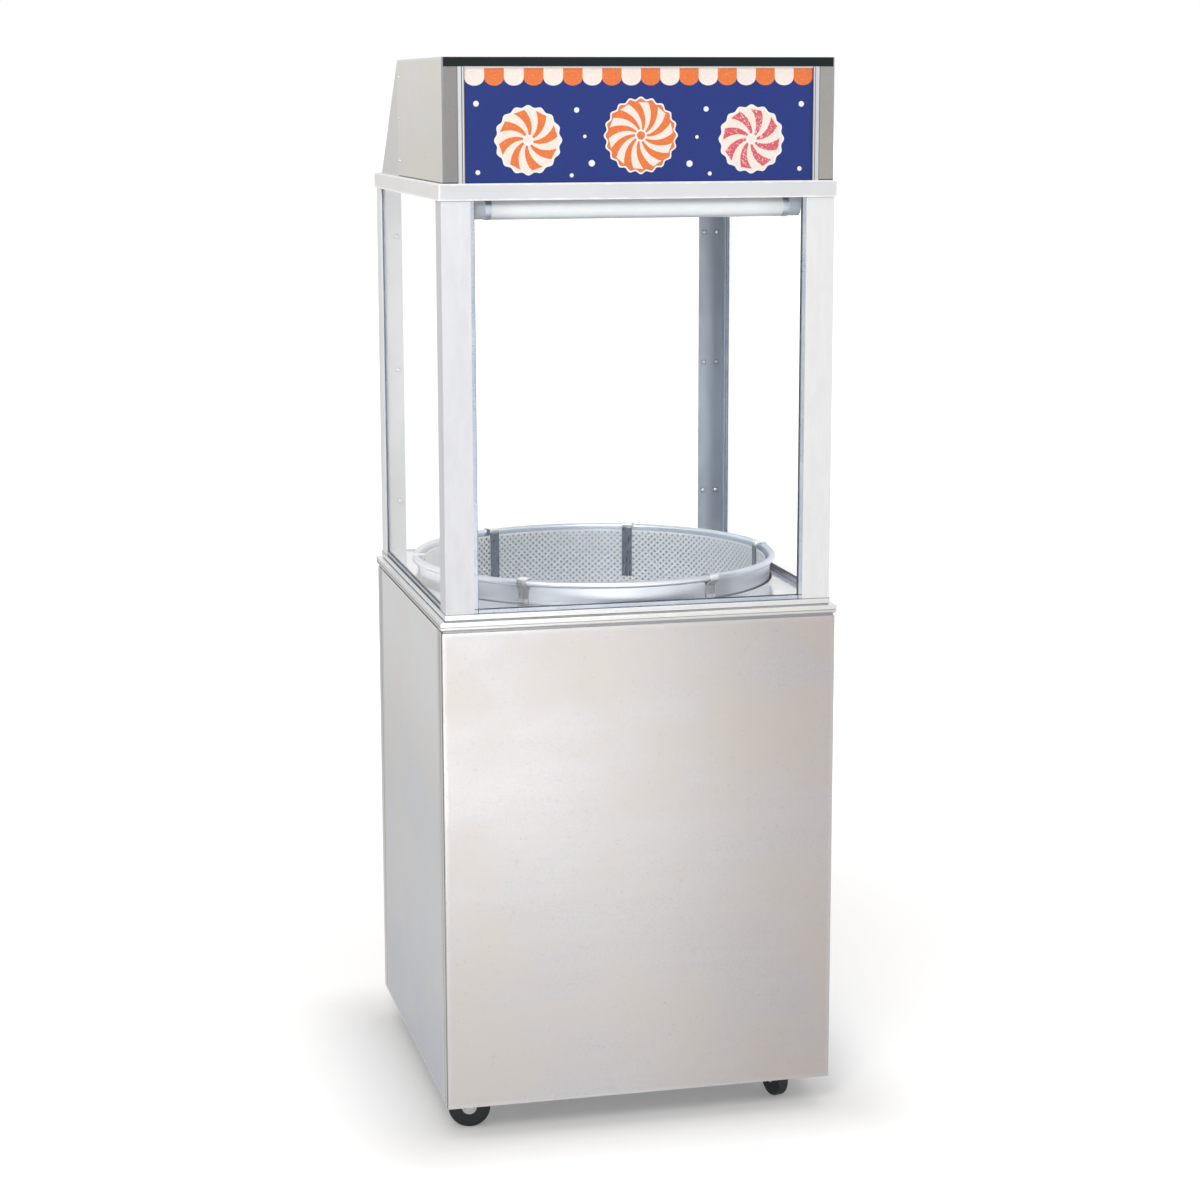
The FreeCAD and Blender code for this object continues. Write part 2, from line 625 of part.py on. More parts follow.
post("post_front_left", "-1", "-1")
post("post_front_right", "1", "-1")
post("post_rear_left", "-1", "1")
post("post_rear_right", "1", "1")

# Glazing: three panes, each in a frame of four U channels inside the posts.
MOUTH_X = f"({POST_X} - post_leg - channel_show)"
MOUTH_Y = f"({POST_Y} - post_leg - channel_show)"
GLASS_SINK = "(channel_depth - channel_wall - glass_play)"
GLASS_IN = "(channel_wall + seat_gap)"
GLASS_LOW = f"({DECK_TOP} + channel_depth - {GLASS_SINK})"
GLASS_HIGH = f"({CASE_CEILING} - channel_depth + {GLASS_SINK})"
FACE_IN_X = f"({POST_X} - post_gauge)"
FACE_IN_Y = f"({POST_Y} - post_gauge)"

keep(block("glass_front", f"-({MOUTH_X} + {GLASS_SINK})", f"({MOUTH_X} + {GLASS_SINK})",
           f"-({FACE_IN_Y} - {GLASS_IN})", f"-({FACE_IN_Y} - {GLASS_IN} - glass_gauge)",
           GLASS_LOW, GLASS_HIGH))
left_pane = block("glass_left", f"-({FACE_IN_X} - {GLASS_IN})",
                  f"-({FACE_IN_X} - {GLASS_IN} - glass_gauge)",
                  f"-({MOUTH_Y} + {GLASS_SINK})", f"({MOUTH_Y} + {GLASS_SINK})",
                  GLASS_LOW, GLASS_HIGH)
keep(left_pane)
keep(mirrored(left_pane, "glass_right"))


def channel_outline(face, inwards, mouth, back):
    """U section: across from the post's inner face, from its mouth to its back."""
    wall = f"{inwards}*channel_wall"
    far = f"{face} + {inwards}*channel_width"
    floor = f"{mouth} + {back}*(channel_depth - channel_wall)"
    end = f"{mouth} + {back}*channel_depth"
    return [
        (face, mouth), (face, end), (far, end), (far, mouth), (f"{far} - {wall}", mouth),
        (f"{far} - {wall}", floor), (f"{face} + {wall}", floor), (f"{face} + {wall}", mouth),
    ]


def channel_strip(label, plane, corners, raised, length):
    body = new_body(label)
    sketch = sketch_on(body, plane, raised)
    outline(sketch, corners)
    pad(sketch, length)
    return body


def glazing_frame(label, plane, face, inwards, mouth, swap):
    """Four channels round one pane; swap gives the uprights' (x, y) order."""
    run = f"({mouth} + channel_depth)"
    low_mouth, high_mouth = f"{DECK_TOP} + channel_depth", f"{CASE_CEILING} - channel_depth"
    strips = [
        channel_strip(f"{label}_sill", plane, channel_outline(face, inwards, low_mouth, "-1"),
                      f"-{run}", f"2*{run}"),
        channel_strip(f"{label}_head", plane, channel_outline(face, inwards, high_mouth, "1"),
                      f"-{run}", f"2*{run}"),
    ]
    for name, side in (("start", "-1"), ("end", "1")):
        corners = channel_outline(face, inwards, f"{side}*{mouth}", side)
        if swap:
            corners = [(along, across) for across, along in corners]
        strips.append(channel_strip(f"{label}_{name}", "XY_Plane", corners, low_mouth,
                                    f"({high_mouth}) - ({low_mouth})"))
    return strips


side_frame = glazing_frame("left", "XZ_Plane", f"-{FACE_IN_X}", "1", MOUTH_Y, False)
group("glass_channels",
      glazing_frame("front", "YZ_Plane", f"-{FACE_IN_Y}", "1", MOUTH_X, True)
      + side_frame + [mirrored(strip, strip.Label.replace("left", "right")) for strip in side_frame])

# Case top: a tray turned over, its skirt outside the posts.
case_top = new_body("case_top")
sketch = sketch_on(case_top, "XY_Plane", f"{CASE_TOP} - top_height")
rectangle(sketch, f"-({POST_X} + top_overhang)", f"({POST_X} + top_overhang)",
          f"-({POST_Y} + top_overhang)", f"({POST_Y} + top_overhang)")
pad(sketch, "top_height")
soften(case_top, "bends", "Fillet", "top_bend", upright_edge)
hollow(case_top, "top_gauge", (0, 0, -1))
keep(case_top)

# Case lamp: fluorescent tube just inside the front glass, in two holders.
LAMP_Y = f"(-({FACE_IN_Y} - {GLASS_IN} - glass_gauge - lamp_glass_gap - lamp_radius))"
LAMP_Z = f"({CASE_TOP} - lamp_drop)"
lamp = new_body("lamp_tube")
sketch = sketch_on(lamp, "YZ_Plane")
circle(sketch, LAMP_Y, LAMP_Z, "lamp_radius")
pad(sketch, "2*lamp_half", both_ways=True)
sketch = sketch_on(lamp, "YZ_Plane")
circle(sketch, LAMP_Y, LAMP_Z, "lamp_radius/4")
pad(sketch, "2*(lamp_half + lamp_pin)", both_ways=True)
keep(lamp)

holder = new_body("left")
sketch = sketch_on(holder, "YZ_Plane", "-lamp_half - holder_width")
front_edge, back_edge = f"({LAMP_Y} - holder_half)", f"({LAMP_Y} + holder_half)"
outline(sketch, half_round(LAMP_Y, LAMP_Z, "holder_half", "below") + [
    (back_edge, CASE_CEILING), (front_edge, CASE_CEILING),
])
pad(sketch, "holder_width - seat_gap")
sketch = sketch_on(holder, "YZ_Plane", "-lamp_half")
circle(sketch, LAMP_Y, LAMP_Z, "lamp_radius/4 + seat_gap")
pocket(sketch, "lamp_pin + seat_gap")
group("lamp_holders", [holder, mirrored(holder, "right")])

# ---------------------------------------------------------------- header

HEADER_X = "(header_width/2)"
SIGN_X = f"({HEADER_X} - sign_margin)"
SIGN_TOP = f"({HEADER_TOP} - strip_height)"
header = new_body("header_shell")
sketch = sketch_on(header, "XY_Plane", CASE_TOP)
rectangle(sketch, f"-{HEADER_X}", HEADER_X, HEADER_FRONT, HEADER_SEAM)
pad(sketch, "header_height")
soften(header, "bends", "Fillet", "header_bend",
       lambda e: upright_edge(e) and e.CenterOfMass.y < 0)
hollow(header, "header_gauge", (0, 0, -1), (0, 1, 0))
sketch = sketch_on(header, "XZ_Plane", f"-{HEADER_FRONT}")
rectangle(sketch, f"-{SIGN_X}", SIGN_X, CASE_TOP, SIGN_TOP)
pocket(sketch, "2*header_gauge")
keep(header)

# Rear cover: closes the box with a slope, over two triangular cheeks.
rear_cover = new_body("header_rear_cover")
sketch = sketch_on(rear_cover, "YZ_Plane", f"-{HEADER_X}")
cover_front = f"({HEADER_SEAM} + panel_seam)"
outline(sketch, [(cover_front, CASE_TOP), (f"{cover_front} + header_tail", CASE_TOP),
                 (cover_front, HEADER_TOP)])
pad(sketch, "header_width")
hollow(rear_cover, "header_gauge", (0, 0, -1), (0, -1, 0))
keep(rear_cover)

STRIP_X = f"({HEADER_X} - header_bend - seat_gap)"
keep(block("header_strip", f"-{STRIP_X}", STRIP_X,
           f"({HEADER_FRONT} - strip_gauge)", HEADER_FRONT, SIGN_TOP, HEADER_TOP))

# Sign: a translucent panel slid into two mouldings, lit from the case lamp.
SLOT_FRONT = f"({HEADER_FRONT} + sign_gauge - 0.4)"
SLOT_BACK = f"({SLOT_FRONT} + sign_gauge + 2*seat_gap)"
LEG_BACK = f"({SLOT_BACK} + sheet_gauge)"
MOULDING_IN = f"({SIGN_X} - sign_channel)"
SLOT_END = f"({SIGN_X} - sheet_gauge)"
keep(block("sign_panel", f"-({SLOT_END} - seat_gap)", f"({SLOT_END} - seat_gap)",
           f"({SLOT_FRONT} + seat_gap)", f"({SLOT_BACK} - seat_gap)",
           CASE_TOP, f"({SIGN_TOP} + sheet_gauge)"))
moulding = new_body("left")
sketch = sketch_on(moulding, "XY_Plane", CASE_TOP)
GROOVE = f"({HEADER_FRONT} + 0.8)"
outline(sketch, [
    (f"-{SIGN_X}", HEADER_FRONT), (f"-({SIGN_X} - 3)", HEADER_FRONT),
    (f"-({SIGN_X} - 3)", GROOVE), (f"-({SIGN_X} - 8)", GROOVE),
    (f"-({SIGN_X} - 8)", HEADER_FRONT), (f"-{MOULDING_IN}", HEADER_FRONT),
    (f"-{MOULDING_IN}", SLOT_FRONT), (f"-{SLOT_END}", SLOT_FRONT),
    (f"-{SLOT_END}", SLOT_BACK), (f"-{MOULDING_IN}", SLOT_BACK),
    (f"-{MOULDING_IN}", LEG_BACK), (f"-{SIGN_X}", LEG_BACK),
])
pad(sketch, f"{SIGN_TOP} - {CASE_TOP}")
lip = block("top_lip", f"-{MOULDING_IN}", MOULDING_IN, HEADER_FRONT, SLOT_FRONT,
            f"({SIGN_TOP} - 2*sheet_gauge)", SIGN_TOP)
group("sign_mouldings", [moulding, mirrored(moulding, "right"), lip])

# Ballast of the lamp, screwed down on the case top inside the header.
ballast = block("lamp_ballast", "-75", "75", "-20", "30", CASE_TOP, f"({CASE_TOP} + 38)")
sketch = sketch_on(ballast, "XY_Plane", CASE_TOP)
rectangle(sketch, "-95", "95", "-14", "24")
pad(sketch, "sheet_gauge")
keep(ballast)

# ---------------------------------------------------------------- pan

# Spun aluminium pan: collar, floor, round corner, wall and rolled rim.
WALL_IN = f"({PAN_WALL} - pan_gauge)"
BEAD_X = f"({WALL_IN} + bead_radius)"
BEAD_Z = f"({RIM_TOP} - bead_radius)"
FLOOR_IN = f"({PAN_BOTTOM} + pan_gauge)"
CURL_DROP = "(sqrt(bead_radius^2 - (bead_radius - pan_gauge)^2))"
keep(spun("pan", [
    ("pan_hole", PAN_BOTTOM),
    (f"({PAN_WALL} - pan_corner)", PAN_BOTTOM, "pan_corner", "left", False),
    (PAN_WALL, f"({PAN_BOTTOM} + pan_corner)"),
    (PAN_WALL, f"({BEAD_Z} - {CURL_DROP})", "bead_radius", "left", True),
    (WALL_IN, BEAD_Z),
    (WALL_IN, f"({PAN_BOTTOM} + pan_corner)", "pan_corner - pan_gauge", "right", False),
    (f"({PAN_WALL} - pan_corner)", FLOOR_IN),
    ("pan_hole + pan_gauge", FLOOR_IN),
    ("pan_hole + pan_gauge", f"({PAN_BOTTOM} + pan_collar)"),
    ("pan_hole", f"({PAN_BOTTOM} + pan_collar)"),
]))

# Net that catches the floss, held off the wall by the clips.
NET_OUT = f"({WALL_IN} - net_gap)"
NET_IN = f"({NET_OUT} - net_gauge)"
NET_TOP = f"({RIM_TOP} - net_drop)"
net = new_body("pan_net")
sketch = sketch_on(net, "XY_Plane", f"{NET_TOP} - net_height")
circle(sketch, "0", "0", NET_OUT)
circle(sketch, "0", "0", NET_IN)
pad(sketch, "net_height")
keep(net)


def net_clip(angle):
    """Spring clip: a strip bent over the rim, inside the net and down the wall."""
    body = new_body(f"at_{angle}".replace(".", "_"))
    sketch = sketch_on(body, "XZ_Plane")
    leg = f"({NET_IN} - seat_gap)"
    top = f"({RIM_TOP} + seat_gap)"
    hug = "(rim_radius + seat_gap)"
    low = f"({RIM_TOP} - clip_reach)"
    wall = f"({PAN_WALL} + seat_gap)"
    shoulder = f"({RIM_TOP} - bead_radius - 3)"
    tuck = f"({RIM_TOP} - 3*bead_radius - 2)"
    foot = f"({DECK_TOP} + clip_foot)"
    outline(sketch, [
        (f"({leg} - clip_gauge)", low), (leg, low), (leg, f"({top} - 2)"),
        (f"({leg} + 2)", top), (f"({hug} - 2)", top), (hug, f"({top} - 2)"),
        (hug, shoulder), (wall, tuck), (wall, f"({foot} + 6)"), (f"({wall} + 2)", foot),
        (f"({wall} + 2 + clip_gauge)", foot), (f"({wall} + clip_gauge)", f"({foot} + 6)"),
        (f"({wall} + clip_gauge)", f"({tuck} - 0.6)"),
        (f"({hug} + clip_gauge)", f"({shoulder} - 0.6)"),
        (f"({hug} + clip_gauge)", f"({top} - 1)", "1 + clip_gauge", "left", False),
        (f"({hug} - 1)", f"({top} + clip_gauge)"),
        (f"({leg} + 1)", f"({top} + clip_gauge)", "1 + clip_gauge", "left", False),
        (f"({leg} - clip_gauge)", f"({top} - 1)"),
    ])
    pad(sketch, "clip_width", both_ways=True)
    place(body, turn=angle)
    return body


group("net_clips", [net_clip(angle) for angle in CLIP_ANGLES])

# ---------------------------------------------------------------- spinner

# Motor: round shell with a top plate, bored for the shaft.
BORE = "(shaft_radius + shaft_play)"
MOTOR_LOW = f"({MOTOR_TOP} - motor_plate_gauge - motor_height)"
keep(spun("motor", [
    (BORE, f"({MOTOR_LOW} - 8)"), ("shaft_radius + 12", f"({MOTOR_LOW} - 8)"),
    ("shaft_radius + 12", MOTOR_LOW), ("motor_radius - 8", MOTOR_LOW),
    ("motor_radius", f"({MOTOR_LOW} + 8)"),
    ("motor_radius", f"({MOTOR_TOP} - motor_plate_gauge)"),
    ("motor_plate", f"({MOTOR_TOP} - motor_plate_gauge)"), ("motor_plate", MOTOR_TOP),
    ("shaft_radius + 9", MOTOR_TOP), ("shaft_radius + 9", f"({MOTOR_TOP} + 3)"),
    (BORE, f"({MOTOR_TOP} + 3)"),
]))

# Four rubber isolators hang the motor plate under the shelf.
isolators = new_body("motor_isolators")
sketch = sketch_on(isolators, "XY_Plane", MOTOR_TOP)
circle(sketch, "isolator_circle", "0", "isolator_radius")
first_isolator = pad(sketch, "isolator_height")
ring = isolators.newObject("PartDesign::PolarPattern", "isolator_ring")
ring.Originals = [first_isolator]
ring.Axis = (sketch, ["N_Axis"])
ring.Angle = 360
ring.Occurrences = 4
isolators.Tip = ring
doc.recompute()
keep(isolators)

# Shaft: runs through the motor and carries the slip rings and the sugar head.
SHOULDER = f"({HEAD_BOTTOM} - 4)"
HEAD_TOP = f"({HEAD_BOTTOM} + head_height)"
keep(spun("spinner_shaft", [
    ("0", f"({MOTOR_LOW} - 14)"), ("shaft_radius", f"({MOTOR_LOW} - 14)"),
    ("shaft_radius", SHOULDER), ("shaft_radius + 5", SHOULDER),
    ("shaft_radius + 5", HEAD_BOTTOM), ("shaft_radius - 2", HEAD_BOTTOM),
    ("shaft_radius - 2", f"({HEAD_BOTTOM} + 26)"), ("0", f"({HEAD_BOTTOM} + 26)"),
]))

# Slip rings: two brass bands on an insulating sleeve fixed to the shaft.
RING_LOW = f"({MOTOR_TOP} + 6)"
sleeve = "(ring_radius - 4)"
rings = [("shaft_radius + seat_gap/10", f"({RING_LOW} - 2)"), (sleeve, f"({RING_LOW} - 2)")]
for place_of_ring in (RING_LOW, f"({RING_LOW} + ring_height + 2)"):
    rings += [(sleeve, place_of_ring), ("ring_radius", place_of_ring),
              ("ring_radius", f"({place_of_ring} + ring_height)"),
              (sleeve, f"({place_of_ring} + ring_height)")]
rings.append((sleeve, f"({RING_LOW} + 2*ring_height + 4)"))
rings.append(("shaft_radius + seat_gap/10", f"({RING_LOW} + 2*ring_height + 4)"))
keep(spun("slip_rings", rings))

# Brush holder: an insulating block on the motor plate with two carbon brushes.
holder_in = "(ring_radius + 4)"
brush_block = block("block", holder_in, f"({holder_in} + 34)", "-12", "12",
                    MOTOR_TOP, f"({RING_LOW} + 2*ring_height + 4)")
brushes = []
for name, level in (("lower_brush", RING_LOW), ("upper_brush", f"({RING_LOW} + ring_height + 2)")):
    brushes.append(block(name, "(ring_radius + seat_gap)", f"({holder_in} + 10)", "-4", "4",
                         f"({level} + 0.5)", f"({level} + ring_height - 0.5)"))
    sketch = sketch_on(brush_block, "YZ_Plane", holder_in)
    rectangle(sketch, "-4.2", "4.2", f"({level} + 0.3)", f"({level} + ring_height - 0.3)")
    pocket(sketch, "12", towards_normal=True)
group("brush_holder", [brush_block] + brushes)

# Sugar head: bowl, heater band and cap, held together by four posts.
keep(spun("head_bowl", [
    ("shaft_radius - 2 + shaft_play", HEAD_BOTTOM), ("head_radius - 6", HEAD_BOTTOM),
    ("head_radius", f"({HEAD_BOTTOM} + 6)"), ("head_radius", f"({HEAD_BOTTOM} + 14)"),
    ("head_radius - 2", f"({HEAD_BOTTOM} + 14)"), ("head_radius - 2", f"({HEAD_BOTTOM} + 7)"),
    ("head_radius - 7", f"({HEAD_BOTTOM} + 3)"), ("shaft_radius + 12", f"({HEAD_BOTTOM} + 3)"),
    ("shaft_radius + 6", f"({HEAD_BOTTOM} + 16)"),
    ("shaft_radius - 2 + shaft_play", f"({HEAD_BOTTOM} + 16)"),
]))
HEATER_LOW = f"({HEAD_BOTTOM} + 3 + seat_gap)"
HEATER_HIGH = f"({HEAD_TOP} - 9)"
heater = new_body("heater_band")
sketch = sketch_on(heater, "XY_Plane", HEATER_LOW)
circle(sketch, "0", "0", "heater_radius - 3")
circle(sketch, "0", "0", "heater_radius - 3 - heater_gauge")
pad(sketch, f"{HEATER_HIGH} - {HEATER_LOW}")
sketch = sketch_on(heater, "XZ_Plane")
rectangle(sketch, "-1", "1", f"({HEATER_LOW} + 4)", f"({HEATER_HIGH} - 4)")
first_slot = pocket(sketch, "heater_radius + 5")
slots = heater.newObject("PartDesign::PolarPattern", "slot_ring")
slots.Originals = [first_slot]
slots.Axis = (sketch, ["V_Axis"])
slots.Angle = 360
slots.setExpression("Occurrences", tied("heater_slots"))
heater.Tip = slots
doc.recompute()
keep(heater)

CAP_LOW = f"({HEATER_HIGH} + seat_gap)"
cap = spun("head_cap", [
    ("22", CAP_LOW), ("head_radius - 2", CAP_LOW), ("head_radius", f"({CAP_LOW} + 2)"),
    ("head_radius - 4", f"({CAP_LOW} + 5)"), ("26", f"({HEAD_TOP} - 1)"), ("24", HEAD_TOP),
    ("22", HEAD_TOP),
])
sketch = sketch_on(cap, "XY_Plane", f"({HEAD_BOTTOM} + 3)")
circle(sketch, "40", "0", "3")
first_post = pad(sketch, f"{CAP_LOW} - ({HEAD_BOTTOM} + 3) + 1")
cap_posts = cap.newObject("PartDesign::PolarPattern", "cap_posts")
cap_posts.Originals = [first_post]
cap_posts.Axis = (sketch, ["N_Axis"])
cap_posts.Angle = 360
cap_posts.Occurrences = 4
cap.Tip = cap_posts
doc.recompute()
keep(cap)

# ---------------------------------------------------------------- casters

PLATE_TOP = FLOOR_BOTTOM
RACE_LOW = f"({PLATE_TOP} - 11.2)"
FORK_TOP = f"({RACE_LOW} - seat_gap)"
AXLE_Z = "wheel_radius"


def caster_plate(name, side, end):
    """Square plate, swivel race and riveted king pin."""
    body = new_body(name)
    sketch = sketch_on(body, "XY_Plane", f"({PLATE_TOP} - caster_plate_gauge)")
    half_plate = "(caster_plate/2)"
    rectangle(sketch, f"-{half_plate}", half_plate, f"-{half_plate}", half_plate)
    pad(sketch, "caster_plate_gauge")
    sketch = sketch_on(body, "XZ_Plane")
    pin_low = f"({FORK_TOP} - fork_gauge - seat_gap)"
    outline(sketch, [
        ("0", f"({PLATE_TOP} - 1)"), ("race_radius", f"({PLATE_TOP} - 1)"),
        ("race_radius", f"({RACE_LOW} + 3)"), ("race_radius - 4", RACE_LOW),
        ("king_pin", RACE_LOW), ("king_pin", pin_low), ("king_pin + 3", pin_low),
        ("king_pin + 2", f"({pin_low} - 3)"), ("0", f"({pin_low} - 3)"),
    ])
    revolve(sketch)
    place(body, x=f"{side}*(cabinet_width/2 - caster_inset_x)",
          y=f"{end}*(cabinet_depth/2 - caster_inset_y)")
    return body


def caster_fork(name):
    """Pressed fork: a round crown with two legs that sweep back to the axle."""
    body = new_body("fork")
    sketch = sketch_on(body, "XY_Plane", f"({FORK_TOP} - fork_gauge)")
    circle(sketch, "0", "0", "race_radius")
    circle(sketch, "0", "0", "king_pin + pin_play")
    pad(sketch, "fork_gauge")
    for near in ("fork_gap/2", "-(fork_gap/2 + fork_gauge)"):
        sketch = sketch_on(body, "XZ_Plane", near)
        outline(sketch, [
            ("-race_radius/2", FORK_TOP),
            ("-race_radius/2", f"({FORK_TOP} - 8)"),
            *half_round("caster_trail", AXLE_Z, "boss_radius", "below"),
            ("race_radius*0.75", f"({FORK_TOP} - 8)"),
            ("race_radius*0.75", FORK_TOP),
        ])
        circle(sketch, "caster_trail", AXLE_Z, "axle_radius + pin_play")
        pad(sketch, "fork_gauge")
    return body


def caster_bolt():
    """Axle bolt with a round head and a nut, outside the fork's legs."""
    body = new_body("axle")
    sketch = sketch_on(body, "XZ_Plane")
    circle(sketch, "caster_trail", AXLE_Z, "axle_radius")
    pad(sketch, "fork_gap + 2*fork_gauge + 6", both_ways=True)
    for near in ("fork_gap/2 + fork_gauge + seat_gap/3",
                 "-(fork_gap/2 + fork_gauge + seat_gap/3 + 4)"):
        sketch = sketch_on(body, "XZ_Plane", near)
        circle(sketch, "caster_trail", AXLE_Z, "axle_radius + 3")
        pad(sketch, "4")
    return body


def caster_tyre():
    """Rubber tyre with rounded shoulders; its axis is moved to the axle."""
    half_tread, shoulder = "(wheel_width/2)", "5"
    body = new_body("tyre")
    sketch = sketch_on(body, "XY_Plane")
    outline(sketch, [
        ("hub_radius + 0.02", f"-{half_tread}"),
        (f"wheel_radius - {shoulder}", f"-{half_tread}", shoulder, "left", False),
        ("wheel_radius", f"-({half_tread} - {shoulder})"),
        ("wheel_radius", f"({half_tread} - {shoulder})", shoulder, "left", False),
        (f"wheel_radius - {shoulder}", half_tread),
        ("hub_radius + 0.02", half_tread),
    ])
    revolve(sketch)
    return body


def caster_hub():
    """Pressed hub: a tube under the tyre that stands out as a boss on each side."""
    body = new_body("hub")
    sketch = sketch_on(body, "XY_Plane")
    rim, boss = "(wheel_width/2)", "(fork_gap/2 - seat_gap)"
    half_hub = [
        ("axle_radius + pin_play", boss), ("boss_radius", boss), ("boss_radius", rim),
        ("hub_radius", rim),
    ]
    outline(sketch, half_hub + [(r, f"-{y}") for r, y in reversed(half_hub)])
    revolve(sketch)
    return body


group("caster_plates", [caster_plate(name, side, end) for name, side, end, _ in CASTERS])
for name, side, end, trail_angle in CASTERS:
    stem_x = f"{side}*(cabinet_width/2 - caster_inset_x)"
    stem_y = f"{end}*(cabinet_depth/2 - caster_inset_y)"
    fork = doc.addObject("Part::Compound", f"caster_{name}_fork")
    fork.Links = [caster_fork(name), caster_bolt()]
    place(fork, x=stem_x, y=stem_y, turn=trail_angle)
    keep(fork, f"caster_{name}_fork")
    tyre, hub = caster_tyre(), caster_hub()
    for part_of_wheel in (tyre, hub):
        place(part_of_wheel, x="caster_trail", z=AXLE_Z)
    wheel = doc.addObject("Part::Compound", f"caster_{name}_wheel")
    wheel.Links = [tyre, hub]
    place(wheel, x=stem_x, y=stem_y, turn=trail_angle)
    keep(wheel, f"caster_{name}_wheel")

# ---------------------------------------------------------------- rear door

door = new_body("rear_door")
sketch = sketch_on(door, "XZ_Plane", f"-{REAR_FACE}")
rectangle(sketch, f"-{DOOR_EDGE}", DOOR_EDGE, DOOR_LOW, DOOR_HIGH)
pad(sketch, "panel_return")
hollow(door, "sheet_gauge", (0, -1, 0))
LATCH_X = f"(-({DOOR_EDGE} - latch_inset))"
LATCH_Z = f"(({DOOR_LOW} + {DOOR_HIGH})/2)"
sketch = sketch_on(door, "XZ_Plane", f"-{REAR_FACE}")
circle(sketch, LATCH_X, LATCH_Z, "latch_spindle + pin_play")
pocket(sketch, "2*sheet_gauge", towards_normal=True)
sketch = sketch_on(door, "XZ_Plane", f"-{REAR_FACE}")
first_x, vent_top = "(-vent_span/2)", f"({DOOR_HIGH} - vent_drop)"
outline(sketch, half_round(first_x, f"({vent_top} - vent_width/2)", "(vent_width/2)", "above")
        + half_round(first_x, f"({vent_top} - vent_height + vent_width/2)", "(vent_width/2)",
                     "below"))
first_vent = pocket(sketch, "2*sheet_gauge", towards_normal=True)
vents = door.newObject("PartDesign::LinearPattern", "vents")
vents.Originals = [first_vent]
vents.Direction = (sketch, ["H_Axis"])
vents.setExpression("Length", tied("vent_span"))
vents.Occurrences = 15
door.Tip = vents
doc.recompute()
keep(door)

# Latch: handle outside, spindle through the door, cam that turns behind the
# upright's hook. It is drawn unlatched, with handle and cam hanging down.
CAM_BACK = f"({REAR_FACE} - upright_hook - 0.5)"
latch = new_body("door_latch")
sketch = sketch_on(latch, "XZ_Plane", f"-({REAR_FACE} + seat_gap)")
circle(sketch, LATCH_X, LATCH_Z, "latch_spindle")
pad(sketch, f"({REAR_FACE} + seat_gap) - ({CAM_BACK} - 3.5)")
sketch = sketch_on(latch, "XZ_Plane", f"-{CAM_BACK}")
outline(sketch, half_round(LATCH_X, LATCH_Z, "8", "above")
        + half_round(LATCH_X, f"({LATCH_Z} - latch_reach + 6)", "6", "below"))
pad(sketch, "3.5")
sketch = sketch_on(latch, "XZ_Plane", f"-({REAR_FACE} + seat_gap + 3)")
circle(sketch, LATCH_X, LATCH_Z, "latch_spindle + 5")
pad(sketch, "3")
sketch = sketch_on(latch, "XZ_Plane", f"-({REAR_FACE} + seat_gap + 12)")
outline(sketch, half_round(LATCH_X, LATCH_Z, "7", "above")
        + half_round(LATCH_X, f"({LATCH_Z} - latch_handle + 12)", "5", "below"))
pad(sketch, "9")
keep(latch)

# Butt hinges: outer knuckles and pin on the upright, middle knuckle on the door.
KNUCKLE = "(hinge_height/3)"


def leaf(body, side, low, high, from_knuckle):
    """Leaf plate on one side of the hinge; the knuckle's part reaches its axis."""
    sketch = sketch_on(body, "XY_Plane", low)
    near = HINGE_X if from_knuckle else f"({HINGE_X} + {side}*(knuckle_radius + seat_gap))"
    far = f"({HINGE_X} + {side}*(knuckle_radius + hinge_leaf))"
    rectangle(sketch, near, far, REAR_FACE, f"({REAR_FACE} + hinge_gauge)")
    pad(sketch, f"({high}) - ({low})")


def knuckle(body, low, high, bore=None):
    sketch = sketch_on(body, "XY_Plane", low)
    circle(sketch, HINGE_X, HINGE_Y, "knuckle_radius")
    pad(sketch, f"({high}) - ({low})")
    if bore:
        sketch = sketch_on(body, "XY_Plane", high)
        circle(sketch, HINGE_X, HINGE_Y, bore)
        pocket(sketch, f"({high}) - ({low})")


fixed_leaves, door_leaves = [], []
for name, foot in (("lower", f"({DOOR_LOW} + hinge_inset)"),
                   ("upper", f"({DOOR_HIGH} - hinge_inset - hinge_height)")):
    one, two, top = f"({foot} + {KNUCKLE})", f"({foot} + 2*{KNUCKLE})", f"({foot} + hinge_height)"
    fixed = new_body(name)
    leaf(fixed, "1", foot, top, False)
    for low, high in ((foot, one), (two, top)):
        leaf(fixed, "1", low, high, True)
        knuckle(fixed, low, high)
    sketch = sketch_on(fixed, "XY_Plane", foot)
    circle(sketch, HINGE_X, HINGE_Y, "hinge_pin")
    pad(sketch, "hinge_height")
    fixed_leaves.append(fixed)
    moving = new_body(name)
    leaf(moving, "-1", foot, top, False)
    leaf(moving, "-1", f"({one} + seat_gap)", f"({two} - seat_gap)", True)
    knuckle(moving, f"({one} + seat_gap)", f"({two} - seat_gap)", "hinge_pin + pin_play")
    door_leaves.append(moving)
group("hinge_frame_leaves", fixed_leaves)
group("hinge_door_leaves", door_leaves)

# ---------------------------------------------------------------- controls

